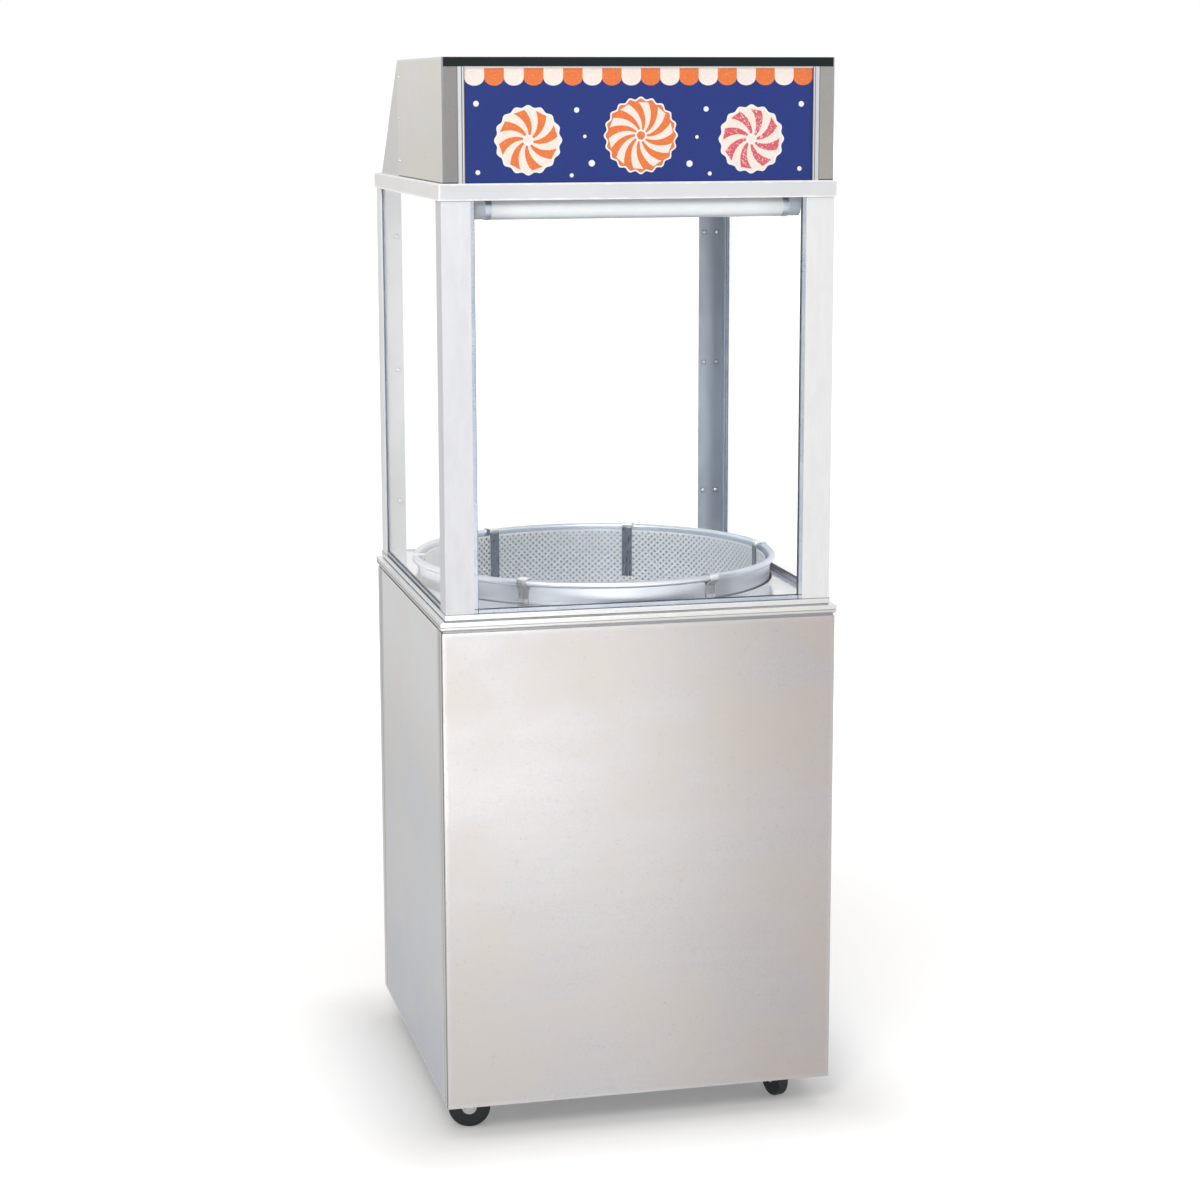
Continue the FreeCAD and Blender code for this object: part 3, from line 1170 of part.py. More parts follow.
panel = new_body("control_panel")
sketch = sketch_on(panel, "XZ_Plane", f"-{REAR_FACE}")
PANEL_X = f"({HOOK_X} - seat_gap)"
rectangle(sketch, f"-{PANEL_X}", PANEL_X, f"({DOOR_HIGH} + panel_gap)", CABINET_TOP)
pad(sketch, "panel_return")
hollow(panel, "sheet_gauge", (0, -1, 0))
BODY_X = "(rocker_width/2 + 2.2)"
BODY_Z = "(rocker_height/2 + rocker_room + 2)"
for _, x in ROCKERS:
    sketch = sketch_on(panel, "XZ_Plane", f"-{REAR_FACE}")
    rectangle(sketch, f"({x} - {BODY_X} - seat_gap)", f"({x} + {BODY_X} + seat_gap)",
              f"(controls_height - {BODY_Z} - seat_gap)", f"(controls_height + {BODY_Z} + seat_gap)")
    pocket(sketch, "2*sheet_gauge", towards_normal=True)
for x, z, radius in ((KNOB_X, "controls_height", "5 + seat_gap"),
                     (PILOT_X, "controls_height", "pilot_radius - 1 + seat_gap"),
                     (GLAND_X, GLAND_Z, "gland_radius - 3 + seat_gap")):
    sketch = sketch_on(panel, "XZ_Plane", f"-{REAR_FACE}")
    circle(sketch, x, z, radius)
    pocket(sketch, "2*sheet_gauge", towards_normal=True)
keep(panel)

PIVOT_Y = f"({REAR_FACE} - 2.6)"


def switch_housing(name, x):
    """Snap-in housing with a bezel, hollow for the rocker and holed for its pins."""
    body = new_body(name)
    bezel_x, bezel_z = f"({BODY_X} + bezel_border)", f"({BODY_Z} + bezel_border)"
    sketch = sketch_on(body, "XZ_Plane", f"-({REAR_FACE} + 2)")
    rectangle(sketch, f"({x} - {bezel_x})", f"({x} + {bezel_x})",
              f"(controls_height - {bezel_z})", f"(controls_height + {bezel_z})")
    pad(sketch, "2")
    sketch = sketch_on(body, "XZ_Plane", f"-{REAR_FACE}")
    rectangle(sketch, f"({x} - {BODY_X})", f"({x} + {BODY_X})",
              f"(controls_height - {BODY_Z})", f"(controls_height + {BODY_Z})")
    pad(sketch, "24")
    sketch = sketch_on(body, "XZ_Plane", f"-({REAR_FACE} + 2)")
    room_x = "(rocker_width/2 + seat_gap)"
    room_z = "(rocker_height/2 + rocker_room)"
    rectangle(sketch, f"({x} - {room_x})", f"({x} + {room_x})",
              f"(controls_height - {room_z})", f"(controls_height + {room_z})")
    pocket(sketch, "15", towards_normal=True)
    sketch = sketch_on(body, "YZ_Plane", f"({x} - {BODY_X})")
    circle(sketch, PIVOT_Y, "controls_height", "1.6 + pin_play")
    pocket(sketch, f"2*{BODY_X}", towards_normal=True)
    return body


group("switch_housings", [switch_housing(name, x) for name, x in ROCKERS])


def rocker(label, x):
    """Rocker: a shallow V face, on a pin through its middle, tipped to off."""
    body = new_body(label)
    half_z = "(rocker_height/2)"
    sketch = sketch_on(body, "YZ_Plane")
    outline(sketch, [
        ("6", f"-{half_z}"), ("4.2", "0"), ("6", half_z), ("1", half_z), ("-5", "6"),
        ("-5", "-6"), ("1", f"-{half_z}"),
    ])
    pad(sketch, "rocker_width", both_ways=True)
    sketch = sketch_on(body, "YZ_Plane")
    circle(sketch, "0", "0", "1.6")
    pad(sketch, f"2*{BODY_X}", both_ways=True)
    body.Placement = FreeCAD.Placement(
        Vector(), FreeCAD.Rotation(Vector(1, 0, 0), value("rocker_tilt")))
    place(body, x=x, y=PIVOT_Y, z="controls_height")
    return keep(body)


for name, x in ROCKERS:
    rocker(name, x)

# Heat knob on its spindle, and the control that it turns behind the panel.
knob_foot = f"({REAR_FACE} + 1)"
knob_top = f"({knob_foot} + knob_height)"
knob = spun_along_y("heat_knob", [
    ("0", f"({REAR_FACE} - 12)"), ("3", f"({REAR_FACE} - 12)"), ("3", knob_foot),
    ("knob_radius", knob_foot), ("knob_radius", f"({knob_foot} + 3)"),
    ("knob_radius - 4", f"({knob_foot} + 5)"), ("knob_radius - 5", f"({knob_top} - 1.5)"),
    ("knob_radius - 6.5", knob_top), ("0", knob_top),
], KNOB_X, "controls_height")
sketch = sketch_on(knob, "XZ_Plane", f"-{knob_top}")
rectangle(sketch, "-1", "1", "3", "knob_radius - 6")
pad(sketch, "0.8")
knob.Tip.Reversed = True
keep(knob)
keep(spun_along_y("heat_control", [
    ("3 + pin_play", f"({PANEL_BACK} - 26)"), ("control_radius", f"({PANEL_BACK} - 26)"),
    ("control_radius", f"({PANEL_BACK} - 3)"), ("9", f"({PANEL_BACK} - 3)"),
    ("9", f"({PANEL_BACK} - seat_gap)"), ("5", f"({PANEL_BACK} - seat_gap)"),
    ("5", f"({REAR_FACE} + 0.7)"), ("3 + pin_play", f"({REAR_FACE} + 0.7)"),
], KNOB_X, "controls_height"))
keep(spun_along_y("pilot_lamp", [
    ("0", f"({REAR_FACE} - 22)"), ("pilot_radius - 1", f"({REAR_FACE} - 22)"),
    ("pilot_radius - 1", REAR_FACE), ("pilot_radius + 1.5", REAR_FACE),
    ("pilot_radius + 1.5", f"({REAR_FACE} + 1.5)"),
    ("pilot_radius", f"({REAR_FACE} + 1.5)", "pilot_radius", "left", False),
    ("0", f"({REAR_FACE} + 1.5 + pilot_radius)"),
], PILOT_X, "controls_height"))
keep(spun_along_y("cord_gland", [
    ("gland_bore", f"({REAR_FACE} - 16)"), ("gland_radius - 3", f"({REAR_FACE} - 16)"),
    ("gland_radius - 3", REAR_FACE), ("gland_radius", REAR_FACE),
    ("gland_radius", f"({REAR_FACE} + 5)"), ("gland_radius - 5", f"({REAR_FACE} + 12)"),
    ("gland_bore", f"({REAR_FACE} + 12)"),
], GLAND_X, GLAND_Z))

# ---------------------------------------------------------------- export

doc.recompute()
for item in doc.Objects:
    if "Invalid" in item.State or "Error" in item.State:
        raise RuntimeError(f"{item.Label} did not recompute: {item.State}")
labels = [node.Label for node in nodes]
if len(set(labels)) != len(labels):
    raise RuntimeError("two sub-parts share a label")
os.makedirs("parts", exist_ok=True)
for node in nodes:
    shape = node.Shape
    if shape.isNull() or not shape.isValid() or not shape.Solids:
        raise RuntimeError(f"{node.Label} has no valid solid")
for node in nodes:
    node.Shape.exportStep(f"parts/{node.Label}.step")
print(len(nodes), "sub-parts written")
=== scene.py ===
"""A candy floss machine, finished piece by piece in the order it is put together.

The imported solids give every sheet, casting and wheel its place. This file gives them their
metals, paints, rubber and glass, and adds the small pieces that are made by hand or bought in:
rivets, screws, the expanded net, the printed sign and the marks round the heat knob.
All sizes are metres, from the floor under the middle of the cabinet, with -Y to the customer.
"""
import math

import bmesh
import bpy
from mathutils import Matrix, Vector


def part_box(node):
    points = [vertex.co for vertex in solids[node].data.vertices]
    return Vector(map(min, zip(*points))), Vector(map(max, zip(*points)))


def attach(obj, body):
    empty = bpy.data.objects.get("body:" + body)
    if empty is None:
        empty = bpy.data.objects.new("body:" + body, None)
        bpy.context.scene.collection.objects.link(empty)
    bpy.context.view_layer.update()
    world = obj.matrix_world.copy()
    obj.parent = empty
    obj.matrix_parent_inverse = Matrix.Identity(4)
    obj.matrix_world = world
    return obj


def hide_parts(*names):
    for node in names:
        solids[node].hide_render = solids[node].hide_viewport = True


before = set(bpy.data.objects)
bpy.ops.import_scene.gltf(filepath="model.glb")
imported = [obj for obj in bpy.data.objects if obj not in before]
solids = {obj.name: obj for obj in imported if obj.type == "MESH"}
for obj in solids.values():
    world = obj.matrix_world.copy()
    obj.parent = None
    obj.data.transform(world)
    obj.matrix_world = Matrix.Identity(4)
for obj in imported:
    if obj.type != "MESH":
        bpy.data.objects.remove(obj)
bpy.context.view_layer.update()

# ---------------------------------------------------------------- casters
# Four swivel casters: zinc-plated pressed forks and plates under the cabinet floor, each with a
# black rubber tyre on a pale moulded hub. The plates are bolted up through the floor sheet.


def bench(name, metal=0.0, **plain):
    """A new finish on the bench: its shader, and the piece's own place in metres."""
    finish = bpy.data.materials.new(name)
    finish.use_nodes = True
    tree = finish.node_tree
    shader = tree.nodes["Principled BSDF"]
    shader.inputs["Metallic"].default_value = metal
    for socket, value in plain.items():
        shader.inputs[socket.replace("_", " ")].default_value = value
    place = tree.nodes.new("ShaderNodeTexCoord").outputs["Object"]
    return finish, tree, shader, place


def feed(tree, socket, value):
    """Sets a socket, or wires another step's output into it."""
    if isinstance(value, bpy.types.NodeSocket):
        tree.links.new(value, socket)
    else:
        socket.default_value = value


def calc(tree, work, *values):
    """One step of arithmetic on masks."""
    step = tree.nodes.new("ShaderNodeMath")
    step.operation = work
    for socket, value in zip(step.inputs, values):
        feed(tree, socket, value)
    return step.outputs[0]


def across(tree, work, *values):
    """One step of arithmetic on a place or direction; a length or dot comes out as a number."""
    step = tree.nodes.new("ShaderNodeVectorMath")
    step.operation = work
    for socket, value in zip(step.inputs, values):
        feed(tree, socket, value)
    return step.outputs["Value" if work in ("LENGTH", "DOT_PRODUCT") else "Vector"]


def grain(tree, place, per_metre, detail=2.0, rough=0.5):
    """Random grain with this many marks to the metre, one number or one for each axis."""
    if not isinstance(per_metre, tuple):
        per_metre = (per_metre,) * 3
    noise = tree.nodes.new("ShaderNodeTexNoise")
    noise.inputs["Scale"].default_value = 1.0
    noise.inputs["Detail"].default_value = detail
    noise.inputs["Roughness"].default_value = rough
    feed(tree, noise.inputs["Vector"], across(tree, "MULTIPLY", place, per_metre))
    return noise.outputs[0]


def eased(tree, value, low, high, to_low=0.0, to_high=1.0):
    """Reads a mask between two levels and eases it into two others."""
    step = tree.nodes.new("ShaderNodeMapRange")
    step.interpolation_type = "SMOOTHSTEP"
    for socket, number in zip(step.inputs, (value, low, high, to_low, to_high)):
        feed(tree, socket, number)
    return step.outputs[0]


def blended(tree, share, first, second, way="MIX"):
    """Two colours laid over each other by a mask."""
    step = tree.nodes.new("ShaderNodeMix")
    step.data_type, step.blend_type = "RGBA", way
    feed(tree, step.inputs[0], share)
    for socket, colour in ((step.inputs[6], first), (step.inputs[7], second)):
        feed(tree, socket, colour if isinstance(colour, bpy.types.NodeSocket) else (*colour, 1))
    return step.outputs[2]


def surfaced(tree, shader, base, rough):
    """Gives a finish its colour and its roughness."""
    feed(tree, shader.inputs["Base Color"], base)
    feed(tree, shader.inputs["Roughness"], rough)


def raised(tree, shader, height, depth):
    """Lets a mask stand proud of the surface by depth, in metres."""
    bump = tree.nodes.new("ShaderNodeBump")
    bump.inputs["Distance"].default_value = depth
    bump.inputs["Strength"].default_value = 1.0
    feed(tree, bump.inputs["Height"], height)
    tree.links.new(bump.outputs[0], shader.inputs["Normal"])


def tone(colour, share):
    """The same colour, lighter or darker by a share."""
    return tuple(min(1.0, part * share) for part in colour)


def dress(finish, *nodes):
    """Gives a finish to solids of the frame."""
    for node in nodes:
        for held in solids[node].material_slots:
            held.material = finish
        if not solids[node].material_slots:
            solids[node].data.materials.append(finish)


def plated(name, colour, dull=0.34):
    """Bright zinc on pressed steel: fine crystal mottle and a little grey bloom in patches."""
    finish, tree, shader, place = bench(name, 1.0)
    crystal = grain(tree, place, 420, 3, 0.6)
    bloom = eased(tree, grain(tree, place, 34, 3), 0.42, 0.7)
    base = blended(tree, crystal, tone(colour, 0.86), tone(colour, 1.08))
    surfaced(tree, shader, blended(tree, bloom, base, tone(colour, 0.72)),
             eased(tree, bloom, 0, 1, dull, dull + 0.2))
    raised(tree, shader, crystal, 0.00004)
    return finish


zinc = plated("zinc plate", (0.62, 0.62, 0.60))
dress(zinc, "caster_plates")

# Each king pin's x and y, and the way its fork trails, in degrees from +X towards +Y.
KING_PINS = {"front_left": (-0.283, -0.29, 169), "front_right": (0.283, -0.29, 100),
             "rear_left": (-0.283, 0.29, 60), "rear_right": (0.283, 0.29, 132)}
WHEEL_RADIUS, HUB_RADIUS, TRAIL = 0.0381, 0.0135, 0.022
PLATE_GAUGE, BOLT_OUT, HEX_RADIUS, HEX_HEIGHT = 0.0025, 0.0255, 0.0052, 0.0036


def tyre_and_hub(corner, hub_middle, axle):
    """Black rubber outside the hub's radius, pale moulded plastic inside it."""
    finish, tree, shader, place = bench("tyre and hub " + corner)
    from_hub = across(tree, "SUBTRACT", place, hub_middle)
    sideways = across(tree, "DOT_PRODUCT", from_hub, axle)
    out = across(tree, "LENGTH", across(tree, "CROSS_PRODUCT", from_hub, axle))
    rubber = eased(tree, out, HUB_RADIUS - 0.0002, HUB_RADIUS + 0.0002)
    scuff = eased(tree, grain(tree, place, 260, 4, 0.7), 0.45, 0.75)
    tread = eased(tree, out, WHEEL_RADIUS - 0.004, WHEEL_RADIUS)
    black = blended(tree, scuff, (0.006, 0.009, 0.011), (0.018, 0.022, 0.026))
    black = blended(tree, calc(tree, "MULTIPLY", tread, scuff), black, (0.06, 0.062, 0.065))
    cream = blended(tree, scuff, (0.74, 0.74, 0.73), (0.60, 0.60, 0.58))
    # Painted shade: a dark ring round the hub where a groove would hold shade.
    hub_ring_shade = calc(tree, "ABSOLUTE", calc(tree, "SUBTRACT", out, HUB_RADIUS * 0.62))
    cream = blended(tree, eased(tree, hub_ring_shade, 0.0016, 0.0008), cream, (0.10, 0.105, 0.11))
    surfaced(tree, shader, blended(tree, rubber, cream, black),
             eased(tree, scuff, 0, 1, 0.42, 0.62))
    ribs = calc(tree, "SINE", calc(tree, "MULTIPLY", sideways, 2600.0))
    raised(tree, shader, calc(tree, "MULTIPLY", ribs, tread), 0.0003)
    return finish


def lathe(profile, turns=32):
    """A mesh turned about Z from (radius, height) points; a first or last radius of 0 closes it."""
    shape = bmesh.new()
    rings = []
    for radius, height in profile:
        if radius < 1e-7:
            rings.append([shape.verts.new((0, 0, height))])
        else:
            rings.append([shape.verts.new((radius * math.cos(math.tau * k / turns),
                                           radius * math.sin(math.tau * k / turns), height))
                          for k in range(turns)])
    for low, high in zip(rings, rings[1:]):
        for k in range(turns):
            near = (k + 1) % turns
            if len(low) == 1 and len(high) > 1:
                shape.faces.new((low[0], high[near], high[k]))
            elif len(high) == 1 and len(low) > 1:
                shape.faces.new((low[k], low[near], high[0]))
            elif len(low) > 1:
                shape.faces.new((low[k], low[near], high[near], high[k]))
    bmesh.ops.recalc_face_normals(shape, faces=shape.faces)
    for face in shape.faces:
        face.smooth = True
    return shape


def made(name, shape, finish, body, creases=35):
    """Turns worked-up mesh into a piece of the machine that rides on a body."""
    mesh = bpy.data.meshes.new(name)
    shape.to_mesh(mesh)
    shape.free()
    mesh.set_sharp_from_angle(angle=math.radians(creases))
    mesh.materials.append(finish)
    piece = bpy.data.objects.new(name, mesh)
    bpy.context.scene.collection.objects.link(piece)
    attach(piece, body)
    return piece


def repeated(one, stations):
    """Copies of one mesh at each (place, way its top faces), as a single mesh."""
    many = bmesh.new()
    pattern = bpy.data.meshes.new("pattern")
    one.to_mesh(pattern)
    one.free()
    for spot, up in stations:
        turn = Vector((0, 0, 1)).rotation_difference(Vector(up)).to_matrix().to_4x4()
        start = len(many.verts)
        many.from_mesh(pattern)
        many.verts.ensure_lookup_table()
        bmesh.ops.transform(many, matrix=Matrix.Translation(spot) @ turn,
                            verts=many.verts[start:])
    bpy.data.meshes.remove(pattern)
    return many


UNDER_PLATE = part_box("caster_plates")[1].z - PLATE_GAUGE
plate_bolts = []
for corner, (pin_x, pin_y, trail_angle) in KING_PINS.items():
    way = math.radians(trail_angle)
    hub_middle = (pin_x + TRAIL * math.cos(way), pin_y + TRAIL * math.sin(way), WHEEL_RADIUS)
    axle = (-math.sin(way), math.cos(way), 0.0)
    dress(tyre_and_hub(corner, hub_middle, axle), f"caster_{corner}_wheel")
    dress(zinc, f"caster_{corner}_fork")
    plate_bolts += [((pin_x + sx * BOLT_OUT, pin_y + sy * BOLT_OUT, UNDER_PLATE), (0, 0, -1))
                    for sx in (-1, 1) for sy in (-1, 1)]

hex_head = lathe([(0.0, 0.0), (HEX_RADIUS, 0.0), (HEX_RADIUS, 0.0030), (0.0044, HEX_HEIGHT),
                  (0.0, HEX_HEIGHT)], 6)
for face in hex_head.faces:
    face.smooth = False
made("caster_bolts", repeated(hex_head, plate_bolts), zinc, "cabinet")

# ---------------------------------------------------------------- cabinet floor and shelf
# Folded galvanised sheet: the floor that stiffens the panels' foot, and the shelf that carries
# the motor. Both are left as they come from the mill, with faint spangle and handling marks.


def galvanised(name, colour):
    """Hot-dipped sheet: crystal flakes under a faint smear."""
    finish, tree, shader, place = bench(name, 1.0)
    flakes = tree.nodes.new("ShaderNodeTexVoronoi")
    flakes.inputs["Scale"].default_value = 70.0
    feed(tree, flakes.inputs["Vector"], place)
    spangle = calc(tree, "FRACT", calc(tree, "MULTIPLY", flakes.outputs[0], 7.0))
    smear = eased(tree, grain(tree, place, (9, 30, 9), 3), 0.4, 0.7)
    base = blended(tree, spangle, tone(colour, 0.88), tone(colour, 1.1))
    surfaced(tree, shader, blended(tree, smear, base, tone(colour, 0.85)),
             eased(tree, spangle, 0, 1, 0.36, 0.52))
    raised(tree, shader, spangle, 0.00003)
    return finish


mill_sheet = galvanised("galvanised sheet", (0.50, 0.51, 0.52))
dress(mill_sheet, "floor_pan", "machine_shelf")

# ---------------------------------------------------------------- cabinet panels
# Stainless sheet, belt-ground so that hairlines run one way, folded round at its edges. Panels and
# uprights are spot-welded and hands have rubbed the edges. Light and shade are painted on as well:
# dark lines of shade in the joints and seams, and panels darker or lighter across their faces.


def axes(tree, place):
    """A place taken apart into its x, y and z."""
    parts = tree.nodes.new("ShaderNodeSeparateXYZ")
    feed(tree, parts.inputs[0], place)
    return parts.outputs


def near_edges(tree, place, span, reach, ragged=0.35):
    """A mask along the outside edges of a boxy piece, ragged as wear is."""
    middle = tuple((a + b) / 2 for a, b in zip(*span))
    half = tuple((b - a) / 2 for a, b in zip(*span))
    deep = across(tree, "SUBTRACT", half,
                  across(tree, "ABSOLUTE", across(tree, "SUBTRACT", place, middle)))
    x, y, z = axes(tree, deep)
    second = calc(tree, "MAXIMUM", calc(tree, "MINIMUM", x, y),
                  calc(tree, "MINIMUM", calc(tree, "MAXIMUM", x, y), z))
    uneven = calc(tree, "MULTIPLY", calc(tree, "SUBTRACT", grain(tree, place, 55, 4, 0.6), 0.5),
                  reach * 2 * ragged)
    return eased(tree, calc(tree, "ADD", second, uneven), reach, 0.0)


def measured(tree, place, axis):
    """The place along one axis; a capital letter keeps left and right apart."""
    part = axes(tree, place)["xyz".index(axis.lower())]
    return calc(tree, "ABSOLUTE", part) if axis == "x" else part


def jointed(tree, place, base, joints, reach=0.0011, joint_shade=0.8):
    """Painted shade along joints, as dark lines. Each is (axis, position, ...): a plane, or the
    line where two meet.
    """
    for joint in joints:
        far = 0.0
        for axis, position in zip(joint[::2], joint[1::2]):
            gap = calc(tree, "SUBTRACT", measured(tree, place, axis), position)
            far = calc(tree, "MAXIMUM", far, calc(tree, "ABSOLUTE", gap))
        mask = calc(tree, "MULTIPLY", eased(tree, far, reach, reach * 0.4), joint_shade)
        base = blended(tree, mask, base, (0.05, 0.055, 0.07))
    return base


def banded(tree, place, base, bands):
    """Paler or duller stretches, used here mostly as painted light and shade. Each is (axis, start,
    end, tint): full tint lies past end.
    """
    for axis, start, end, tint in bands:
        base = blended(tree, eased(tree, measured(tree, place, axis), start, end), base, tint,
                       "MULTIPLY")
    return base


def satin_sheet(name, colour, hairline, span, dull=0.34, worn=0.010, warm=(1, 1, 1), bands=(),
                joints=(), reach=0.0011, joint_shade=0.8):
    """Belt-ground sheet: hairlines along one axis, clouds, marks, pits and rubbed edges."""
    finish, tree, shader, place = bench(name, 1.0)
    fine = {"x": (14, 1500, 1500), "z": (1500, 1500, 14)}[hairline]
    wide = {"x": (1.2, 60, 60), "z": (60, 60, 1.2)}[hairline]
    hairs, streaks = grain(tree, place, fine, 3, 0.7), grain(tree, place, wide, 2)
    clouds = grain(tree, place, (4.5, 4.5, 7.0), 3, 0.55)
    marks = eased(tree, grain(tree, place, (60, 60, 90), 5, 0.75), 0.60, 0.72)
    fleck = eased(tree, grain(tree, place, 260, 3, 0.8), 0.34, 0.66)
    base = blended(tree, calc(tree, "ADD", calc(tree, "MULTIPLY", hairs, 0.6),
                              calc(tree, "MULTIPLY", fleck, 0.4)),
                   tone(colour, 0.90), tone(colour, 1.09))
    base = blended(tree, eased(tree, streaks, 0.3, 0.7, 0, 0.5), base, tone(colour, 1.03))
    warmer = tuple(part * share for part, share in zip(colour, warm))
    base = blended(tree, eased(tree, clouds, 0.36, 0.66), base, warmer)
    base = blended(tree, calc(tree, "MULTIPLY", marks, 0.6), base, tone(colour, 0.82))
    pits = eased(tree, grain(tree, place, 210, 4, 0.8), 0.655, 0.70)
    base = blended(tree, calc(tree, "MULTIPLY", pits, 0.6), base, tone(colour, 0.55))
    rubbed = near_edges(tree, place, span, worn)
    base = blended(tree, calc(tree, "MULTIPLY", rubbed, 0.7), base, tone(colour, 1.14))
    base = jointed(tree, place, banded(tree, place, base, bands), joints, reach, joint_shade)
    feed(tree, shader.inputs["Base Color"], base)
    blur = calc(tree, "ADD", eased(tree, clouds, 0.3, 0.7, dull - 0.03, dull + 0.06),
                eased(tree, hairs, 0.2, 0.8, -0.04, 0.04))
    feed(tree, shader.inputs["Roughness"],
         calc(tree, "SUBTRACT", blur, calc(tree, "MULTIPLY", rubbed, 0.08)))
    raised(tree, shader, hairs, 0.00003)
    return finish


FOLD_X, FOLD_Y, UPRIGHT_LIP = 0.3556, -0.3492, -0.3450
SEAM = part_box("left_side_panel")[0].y
# Painted light and shade: the front panel is darker towards its right side and a little towards its
# foot, its corner return is painted dark, and a line of painted shade runs down the bend.
dress(satin_sheet("front panel steel", (0.685, 0.67, 0.682), "x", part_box("front_panel"), 0.33,
                  warm=(1.02, 0.99, 0.93),
                  bands=[("X", -0.10, 0.36, (0.80, 0.78, 0.77)),
                         ("x", FOLD_X - 0.0010, FOLD_X - 0.0002, (0.75,) * 3),
                         ("z", 0.55, 0.10, (0.96, 0.96, 0.97))],
                  joints=[("x", FOLD_X, "y", FOLD_Y)], reach=0.0035), "front_panel")
# Painted light and shade: each side panel darkens towards its foot and lightens towards its top,
# with lines of painted shade along its seams.
for side in ("left", "right"):
    node = side + "_side_panel"
    dress(satin_sheet(side + " side steel", (0.70, 0.70, 0.705), "z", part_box(node), 0.36,
                      warm=(0.98, 1.0, 1.03),
                      bands=[("z", 0.45, 0.06, (0.84, 0.85, 0.90)),
                             ("z", 0.50, 0.90, (1.26, 1.25, 1.22))],
                      joints=[("y", SEAM), ("y", -SEAM)], reach=0.0035), node)
# Lines of painted shade along the uprights' lip and seams.
dress(satin_sheet("upright steel", (0.66, 0.66, 0.65), "z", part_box("corner_uprights"), 0.33,
                  joints=[("y", UPRIGHT_LIP), ("y", SEAM - 0.001), ("y", -SEAM)], reach=0.0028),
      "corner_uprights")

# ---------------------------------------------------------------- ledge moulding and foot rail
# A pressed stainless ledge round the cabinet's top, ribbed where it turns under, with the foot rail
# of the case on it. Both are given a paler colour than the panels. Painted shade darkens the ledge
# below its rib and in the reveal under its nose, and the rail at its foot and top.

GROOVE, UNDER_NOSE, RAIL_FOOT, RAIL_TOP = 0.9367, 0.9302, 0.9460, 0.9566
# Painted shade: darker below the rib, much darker in the reveal under the nose, with a dark line at
# the rib.
dress(satin_sheet("ledge steel", (0.84, 0.84, 0.83), "x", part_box("ledge_moulding"), 0.26, 0.004,
                  bands=[("z", GROOVE + 0.0007, GROOVE - 0.0007, (0.88, 0.88, 0.90)),
                         ("z", UNDER_NOSE, UNDER_NOSE - 0.0006, (0.5, 0.5, 0.52))],
                  joints=[("z", GROOVE)], reach=0.0009, joint_shade=0.5), "ledge_moulding")
# Lines of painted shade at the rail's foot and top.
dress(satin_sheet("rail steel", (0.84, 0.845, 0.86), "x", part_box("base_rail"), 0.28, 0.003,
                  joints=[("z", RAIL_FOOT), ("z", RAIL_TOP)]), "base_rail")

# ---------------------------------------------------------------- deck
# Bright stainless top with a round hole for the pan, polished enough to mirror the channels
# that stand on it, and covered with the fine rings and swirls of a damp cloth.

finish, tree, shader, place = bench("deck steel", 1.0)
swirl = grain(tree, place, 16, 4, 0.6)
wiped = grain(tree, place, (30, 700, 700), 3, 0.6)
sugar = eased(tree, grain(tree, place, 900, 2), 0.68, 0.78)
tint = blended(tree, swirl, (0.90, 0.90, 0.89), (0.96, 0.96, 0.96))
surfaced(tree, shader, blended(tree, calc(tree, "MULTIPLY", sugar, 0.2), tint, (0.9, 0.9, 0.88)),
         eased(tree, swirl, 0.3, 0.7, 0.10, 0.2))
raised(tree, shader, wiped, 0.00001)
dress(finish, "deck")

# ---------------------------------------------------------------- case posts
# Four 2 in aluminium angles. The front pair is satin anodised, with a faint lilac bloom; the right
# one is painted lighter, as painted light, and a line of painted shade runs down each heel. The
# rear pair is mill metal, the right one painted blue-grey as shade and the pale left one painted
# darker on its rear leg, with rivets set in pairs at three levels and painted shade round each.


def drawn_angle(name, colour, dull, mottle, joints=(), reach=0.0011, bands=()):
    """Extruded aluminium: long die lines, a faint bloom and a few knocks."""
    finish, tree, shader, place = bench(name, 1.0)
    die_lines = grain(tree, place, (700, 700, 0.8), 2)
    bloom = grain(tree, place, (40, 40, 11), 4, 0.6)
    knocks = eased(tree, grain(tree, place, 130, 3, 0.7), 0.7, 0.76)
    base = blended(tree, die_lines, tone(colour, 0.95), tone(colour, 1.05))
    base = blended(tree, eased(tree, bloom, 0.35, 0.68), base, tone(colour, 1 - mottle))
    base = blended(tree, calc(tree, "MULTIPLY", knocks, 0.4), base, tone(colour, 0.7))
    base = jointed(tree, place, banded(tree, place, base, bands), joints, reach)
    surfaced(tree, shader, base, eased(tree, bloom, 0.3, 0.7, dull, dull + 0.1))
    raised(tree, shader, die_lines, 0.00003)
    return finish


POST_CORNER, REAR_LEG, POST_GAUGE = 0.3508, 0.3456, 0.0016
# A line of painted shade down the heel of each front angle.
heel_shade_line = [("x", POST_CORNER, "y", -POST_CORNER)]
dress(drawn_angle("anodised angle", (0.73, 0.735, 0.765), 0.56, 0.03, heel_shade_line), "post_front_left")
# The right front angle is a lighter copy, as painted light.
dress(drawn_angle("anodised angle right", (0.82, 0.82, 0.825), 0.56, 0.03, heel_shade_line),
      "post_front_right")
RIVET_LEVELS, RIVET_OUT = (1.054, 1.3125, 1.571), (0.3075, 0.3335)
# Painted shade round each rivet.
rivet_shade_rings = [("x", out, "z", level) for out in RIVET_OUT for level in RIVET_LEVELS]
